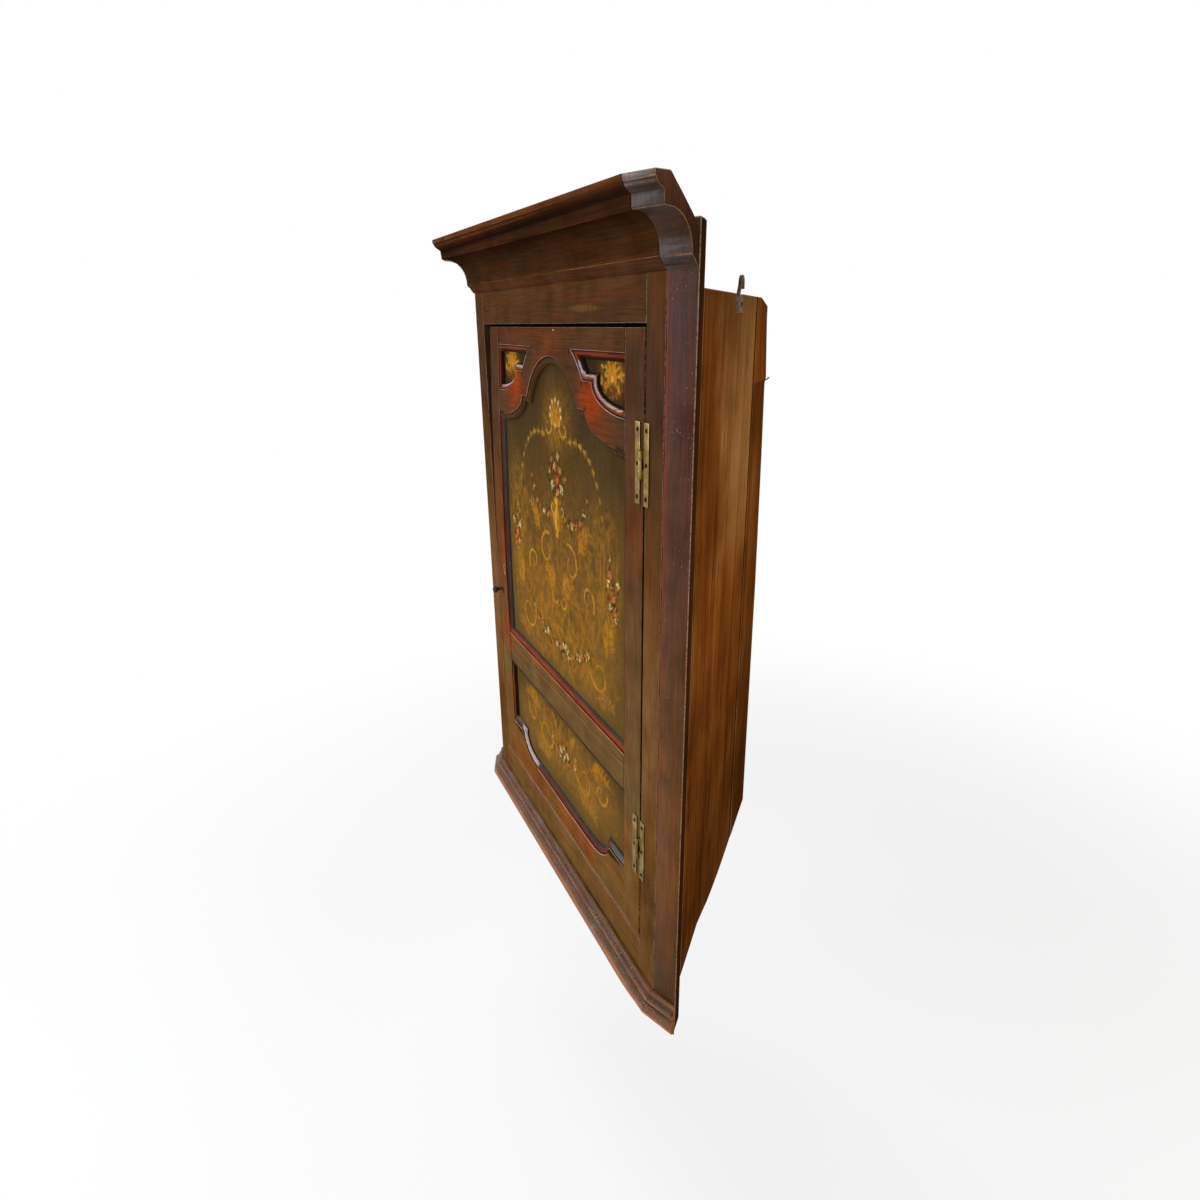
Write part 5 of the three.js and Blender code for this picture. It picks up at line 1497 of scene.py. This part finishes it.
def makePanel(node, panel):
    boxLow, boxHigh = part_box(node)
    columns = int(round((boxHigh.x - boxLow.x) / panel["step"])) + 1
    rows = int(round((boxHigh.z - boxLow.z) / panel["step"])) + 1
    x = np.linspace(boxLow.x, boxHigh.x, columns)
    foot = panel["foot"](x) if panel["foot"] else np.full(columns, boxLow.z)
    head = panel["head"](x) if panel["head"] else np.full(columns, boxHigh.z)
    foot = np.minimum(foot, head - panel["step"] / 2)
    share = np.linspace(0, 1, rows)[:, None]
    front = np.zeros((rows, columns, 3))
    front[..., 0] = x
    front[..., 1] = boxLow.y
    front[..., 2] = foot + share * (head - foot)
    front = front.reshape(-1, 3)
    index = np.arange(rows * columns).reshape(rows, columns)
    squares = [index[:-1, :-1], index[:-1, 1:], index[1:, 1:], index[1:, :-1]]
    faces = np.stack(squares, -1).reshape(-1, 4).tolist()
    rim = np.concatenate([index[0, :-1], index[:-1, -1], index[-1, :0:-1], index[:0:-1, 0]])
    back = front[rim] + np.array([0, boxHigh.y - boxLow.y, 0])
    points = np.concatenate([front, back])
    first = len(front)
    count = len(rim)
    for step in range(count):
        after = (step + 1) % count
        faces.append([int(rim[after]), int(rim[step]), first + step, first + after])
    faces.append([first + step for step in reversed(range(count))])
    mesh = bpy.data.meshes.new(camel(node))
    mesh.from_pydata(twisted(points).tolist(), [], faces)
    art = newArt(points[:, 0], points[:, 2], boxLow.z, boxHigh.z, panel["grounds"])
    panel["paint"](art)
    opaque = np.ones((len(points), 1))
    setPointData(mesh, "painting", "FLOAT_COLOR", np.concatenate([art["colour"], opaque], 1))
    setPointData(mesh, "grainCoord", "FLOAT_VECTOR", points[:, [2, 0, 1]])
    mesh.materials.append(materials["varnishedPainting"])
    mesh.materials.append(materials["innerOak"])
    mesh.polygons[-1].material_index = 1
    mesh.update()
    finishPiece(mesh, camel(node), node)


for panelNode, panel in paintedPanels.items():
    makePanel(panelNode, panel)
print("panels painted")


# Fittings

fittings = {
    "agedBrass": {"slot": "brass", "ease": 0.35 * mm,
                  "nodes": ["hinge_upper_frame_leaf", "hinge_upper_door_leaf", "hinge_lower_frame_leaf",
                            "hinge_lower_door_leaf", "escutcheon"]},
    "rustedIron": {"slot": "iron", "ease": 0.3 * mm,
                   "nodes": ["hanging_hook_left", "hanging_hook_right", "hook_nail_left_1",
                             "hook_nail_left_2", "hook_nail_right_1", "hook_nail_right_2", "knob",
                             "lock_case", "lock_bolt", "hinge_upper_pin", "hinge_lower_pin"]},
}


def dressFittings():
    order = 80
    for finish, group in fittings.items():
        for node in group["nodes"]:
            dressBoard(node, order, finish, group["ease"], [])
            order += 1


dressFittings()
print("fittings dressed")


# Screws and worm holes: Geometry Nodes set one small shape on every point

def startTree(name, sizes):
    tree = bpy.data.node_groups.new(name, "GeometryNodeTree")
    tree.interface.new_socket("Geometry", in_out="INPUT", socket_type="NodeSocketGeometry")
    labels = {}
    for label, value in sizes.items():
        kind = "NodeSocketInt" if isinstance(value, int) else "NodeSocketFloat"
        labels[label] = tree.interface.new_socket(label, in_out="INPUT", socket_type=kind).identifier
    tree.interface.new_socket("Geometry", in_out="OUTPUT", socket_type="NodeSocketGeometry")
    return tree, labels, addNode(tree, "NodeGroupInput").outputs


def endTree(tree, instances, finish):
    real = addNode(tree, "GeometryNodeRealizeInstances", {0: instances}).outputs[0]
    coated = addNode(tree, "GeometryNodeSetMaterial",
                     {"Geometry": real, "Material": materials[finish]}).outputs[0]
    addNode(tree, "NodeGroupOutput", {0: coated})


def runTree(name, mesh, tree, labels, sizes, body):
    # what the tree makes becomes a plain mesh, and its modifier goes
    carrier = addObject(name, mesh)
    modifier = carrier.modifiers.new(name, "NODES")
    modifier.node_group = tree
    for label, value in sizes.items():
        modifier[labels[label]] = value
    made = evaluatedMesh(carrier)
    carrier.modifiers.remove(modifier)
    carrier.data = made
    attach(carrier, body)


def pointMesh(name, spots):
    mesh = bpy.data.meshes.new(name)
    mesh.from_pydata(spots, [], [])
    return mesh


hingeScrews = {
    "sizes": {"Head radius": 3.1 * mm, "Dome": 1.1 * mm, "Slot width": 0.8 * mm, "Seed": 4},
    "offsets": (9 * mm, 50 * mm, 91 * mm),
    "case": 321.75 * mm,
    "door": 299.25 * mm,
    "leafFront": 1.9 * mm,              # how far a leaf stands in front of the frame
    "sink": 0.1 * mm,
    "turn": (-1.2, 1.2),                # radians
}


def screwTree(sizes):
    # a domed head with a slot, turned at random and facing forward
    tree, labels, given = startTree("slottedScrews", sizes)
    ball = addNode(tree, "GeometryNodeMeshUVSphere",
                   {"Segments": 16, "Rings": 8, "Radius": given["Head radius"]}).outputs[0]
    flat = addNode(tree, "ShaderNodeMath",
                   {0: given["Dome"], 1: given["Head radius"]}, operation="DIVIDE").outputs[0]
    squash = addNode(tree, "ShaderNodeCombineXYZ", {0: 1.0, 1: 1.0, 2: flat}).outputs[0]
    head = addNode(tree, "GeometryNodeTransform", {"Geometry": ball, "Scale": squash}).outputs[0]
    longer = addNode(tree, "ShaderNodeMath",
                     {0: given["Head radius"], 1: 3.0}, operation="MULTIPLY").outputs[0]
    slotSize = addNode(tree, "ShaderNodeCombineXYZ",
                       {0: longer, 1: given["Slot width"], 2: given["Dome"]}).outputs[0]
    slotBar = addNode(tree, "GeometryNodeMeshCube", {"Size": slotSize}).outputs[0]
    lift = addNode(tree, "ShaderNodeCombineXYZ", {2: given["Dome"]}).outputs[0]
    raised = addNode(tree, "GeometryNodeTransform", {"Geometry": slotBar, "Translation": lift}).outputs[0]
    cut = addNode(tree, "GeometryNodeMeshBoolean",
                  {"Mesh 1": head, "Mesh 2": raised}, operation="DIFFERENCE").outputs[0]
    turn = addNode(tree, "FunctionNodeRandomValue", {"Seed": given["Seed"]}, data_type="FLOAT")
    turn.inputs[2].default_value, turn.inputs[3].default_value = hingeScrews["turn"]
    bearing = addNode(tree, "ShaderNodeCombineXYZ", {0: math.radians(90), 1: turn.outputs[1]}).outputs[0]
    placed = addNode(tree, "GeometryNodeInstanceOnPoints",
                     {"Points": given["Geometry"], "Instance": cut, "Rotation": bearing}).outputs[0]
    endTree(tree, placed, "rustedSteel")
    return tree, labels


def makeScrews():
    tree, labels = screwTree(hingeScrews["sizes"])
    for body in ("case", "door"):
        spots = []
        for hinge in ("upper", "lower"):
            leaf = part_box("hinge_" + hinge + ("_frame_leaf" if body == "case" else "_door_leaf"))[0]
            front = faceY - hingeScrews["leafFront"] + hingeScrews["sink"]
            spots += [(hingeScrews[body], front, leaf.z + offset) for offset in hingeScrews["offsets"]]
        name = body + "Screws"
        runTree(name, pointMesh(name, spots), tree, labels, hingeScrews["sizes"], body)


makeScrews()

holeSpread = (0.5, 1.2)             # smallest and largest, as shares of the hole's radius
holeDepth = 0.5 * mm
leastOutward = 0.35                 # faces that turn further away from the outside have no holes
baseOutward = {"Front": Vector((0, -1, 0)), "Right": Vector((0.5, -0.87, 0))}
wormHoles = {
    "sideBoardRight": {"Hole radius": 0.9 * mm, "Per square metre": 110.0, "Seed": 3},
    "sideBoardLeft": {"Hole radius": 0.9 * mm, "Per square metre": 70.0, "Seed": 5},
    "baseMouldingFront": {"Hole radius": 0.8 * mm, "Per square metre": 2600.0, "Seed": 8},
    "baseMouldingReturnRight": {"Hole radius": 0.8 * mm, "Per square metre": 1500.0, "Seed": 9},
}


def wormTree(sizes):
    # flight holes as black discs of painted shade with dust, scattered over the faces of a board that look
    # outwards
    tree, labels, given = startTree("flightHoles", sizes)
    scatter = addNode(tree, "GeometryNodeDistributePointsOnFaces",
                      {"Mesh": given["Geometry"], "Density": given["Per square metre"],
                       "Seed": given["Seed"]})
    hole = addNode(tree, "GeometryNodeMeshCylinder",
                   {"Vertices": 7, "Radius": given["Hole radius"], "Depth": holeDepth}).outputs[0]
    sizeSpread = addNode(tree, "FunctionNodeRandomValue", {"Seed": given["Seed"]}, data_type="FLOAT")
    sizeSpread.inputs[2].default_value, sizeSpread.inputs[3].default_value = holeSpread
    placed = addNode(tree, "GeometryNodeInstanceOnPoints", {
        "Points": scatter.outputs["Points"], "Instance": hole, "Rotation": scatter.outputs["Rotation"],
        "Scale": sizeSpread.outputs[1]}).outputs[0]
    endTree(tree, placed, "holeDustAndShade")
    return tree, labels


def outwardFaces(board):
    # the faces of a board that can be seen from outside
    bm = bmesh.new()
    bm.from_mesh(bpy.data.objects[board].data)
    bm.normal_update()
    away = Vector((-diagonal if "Left" in board else diagonal, diagonal, 0))
    if board.startswith("base"):
        away = baseOutward["Front" if board.endswith("Front") else "Right"]
    hidden = [face for face in bm.faces if face.normal.dot(away) < leastOutward]
    bmesh.ops.delete(bm, geom=hidden, context="FACES")
    mesh = bpy.data.meshes.new(board + "Outside")
    bm.to_mesh(mesh)
    bm.free()
    return mesh


def makeWormHoles():
    material, nodes = startMaterial("holeDustAndShade")   # painted shade: a black disc for the shaded depth of a flight hole, with its dust
    dark = addNode(nodes, "ShaderNodeBsdfDiffuse", {"Color": linear("#140b05")})
    addNode(nodes, "ShaderNodeOutputMaterial", {0: dark.outputs[0]})
    materials["holeDustAndShade"] = material
    tree, labels = wormTree(wormHoles["sideBoardRight"])
    for board, sizes in wormHoles.items():
        runTree(board + "WormHoles", outwardFaces(board), tree, labels, sizes, "case")


makeWormHoles()
print("screws and worm holes set")


# One bent nail holds the patch at the far edge of the right rear board

looseNail = {
    "reach": 494 * mm,       # from the canted board, along the wall
    "height": 905 * mm,
    "shank": 1.0 * mm,
    "head": 2.4 * mm,
    "headThick": 0.9 * mm,
    "path": [(-4, 0, 0), (3.5, 0, 0.3), (6, 0.4, 1.6), (7.6, 0.8, 3.6)],   # mm: outwards, back, up
}


def makeNail():
    outward = Vector((diagonal, diagonal, 0))
    backward = Vector((-diagonal, diagonal, 0))
    foot = Vector((frontReach, -frontReach, 0)) + backward * looseNail["reach"]
    foot.z = looseNail["height"]
    curve = bpy.data.curves.new("looseNail", "CURVE")
    curve.dimensions = "3D"
    curve.bevel_depth = looseNail["shank"]
    curve.bevel_resolution = 2
    curve.use_fill_caps = True
    line = curve.splines.new("POLY")
    spots = [foot + outward * a * mm + backward * b * mm + Vector((0, 0, c * mm))
             for a, b, c in looseNail["path"]]
    tip = spots[-1] + (spots[-1] - spots[-2]).normalized() * looseNail["headThick"]
    widths = [1] * len(spots) + [looseNail["head"] / looseNail["shank"]] * 2
    spots += [spots[-1] + (tip - spots[-1]) * 0.01, tip]
    line.points.add(len(spots) - 1)
    for point, spot, width in zip(line.points, spots, widths):
        point.co = (*spot, 1)
        point.radius = width
    holder = addObject("looseNailCurve", curve)
    mesh = evaluatedMesh(holder)
    bpy.data.objects.remove(holder)
    mesh.materials.clear()
    mesh.materials.append(materials["rustedSteel"])
    nail = addObject("looseNail", mesh)
    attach(nail, "case")


makeNail()
print("nail driven in")
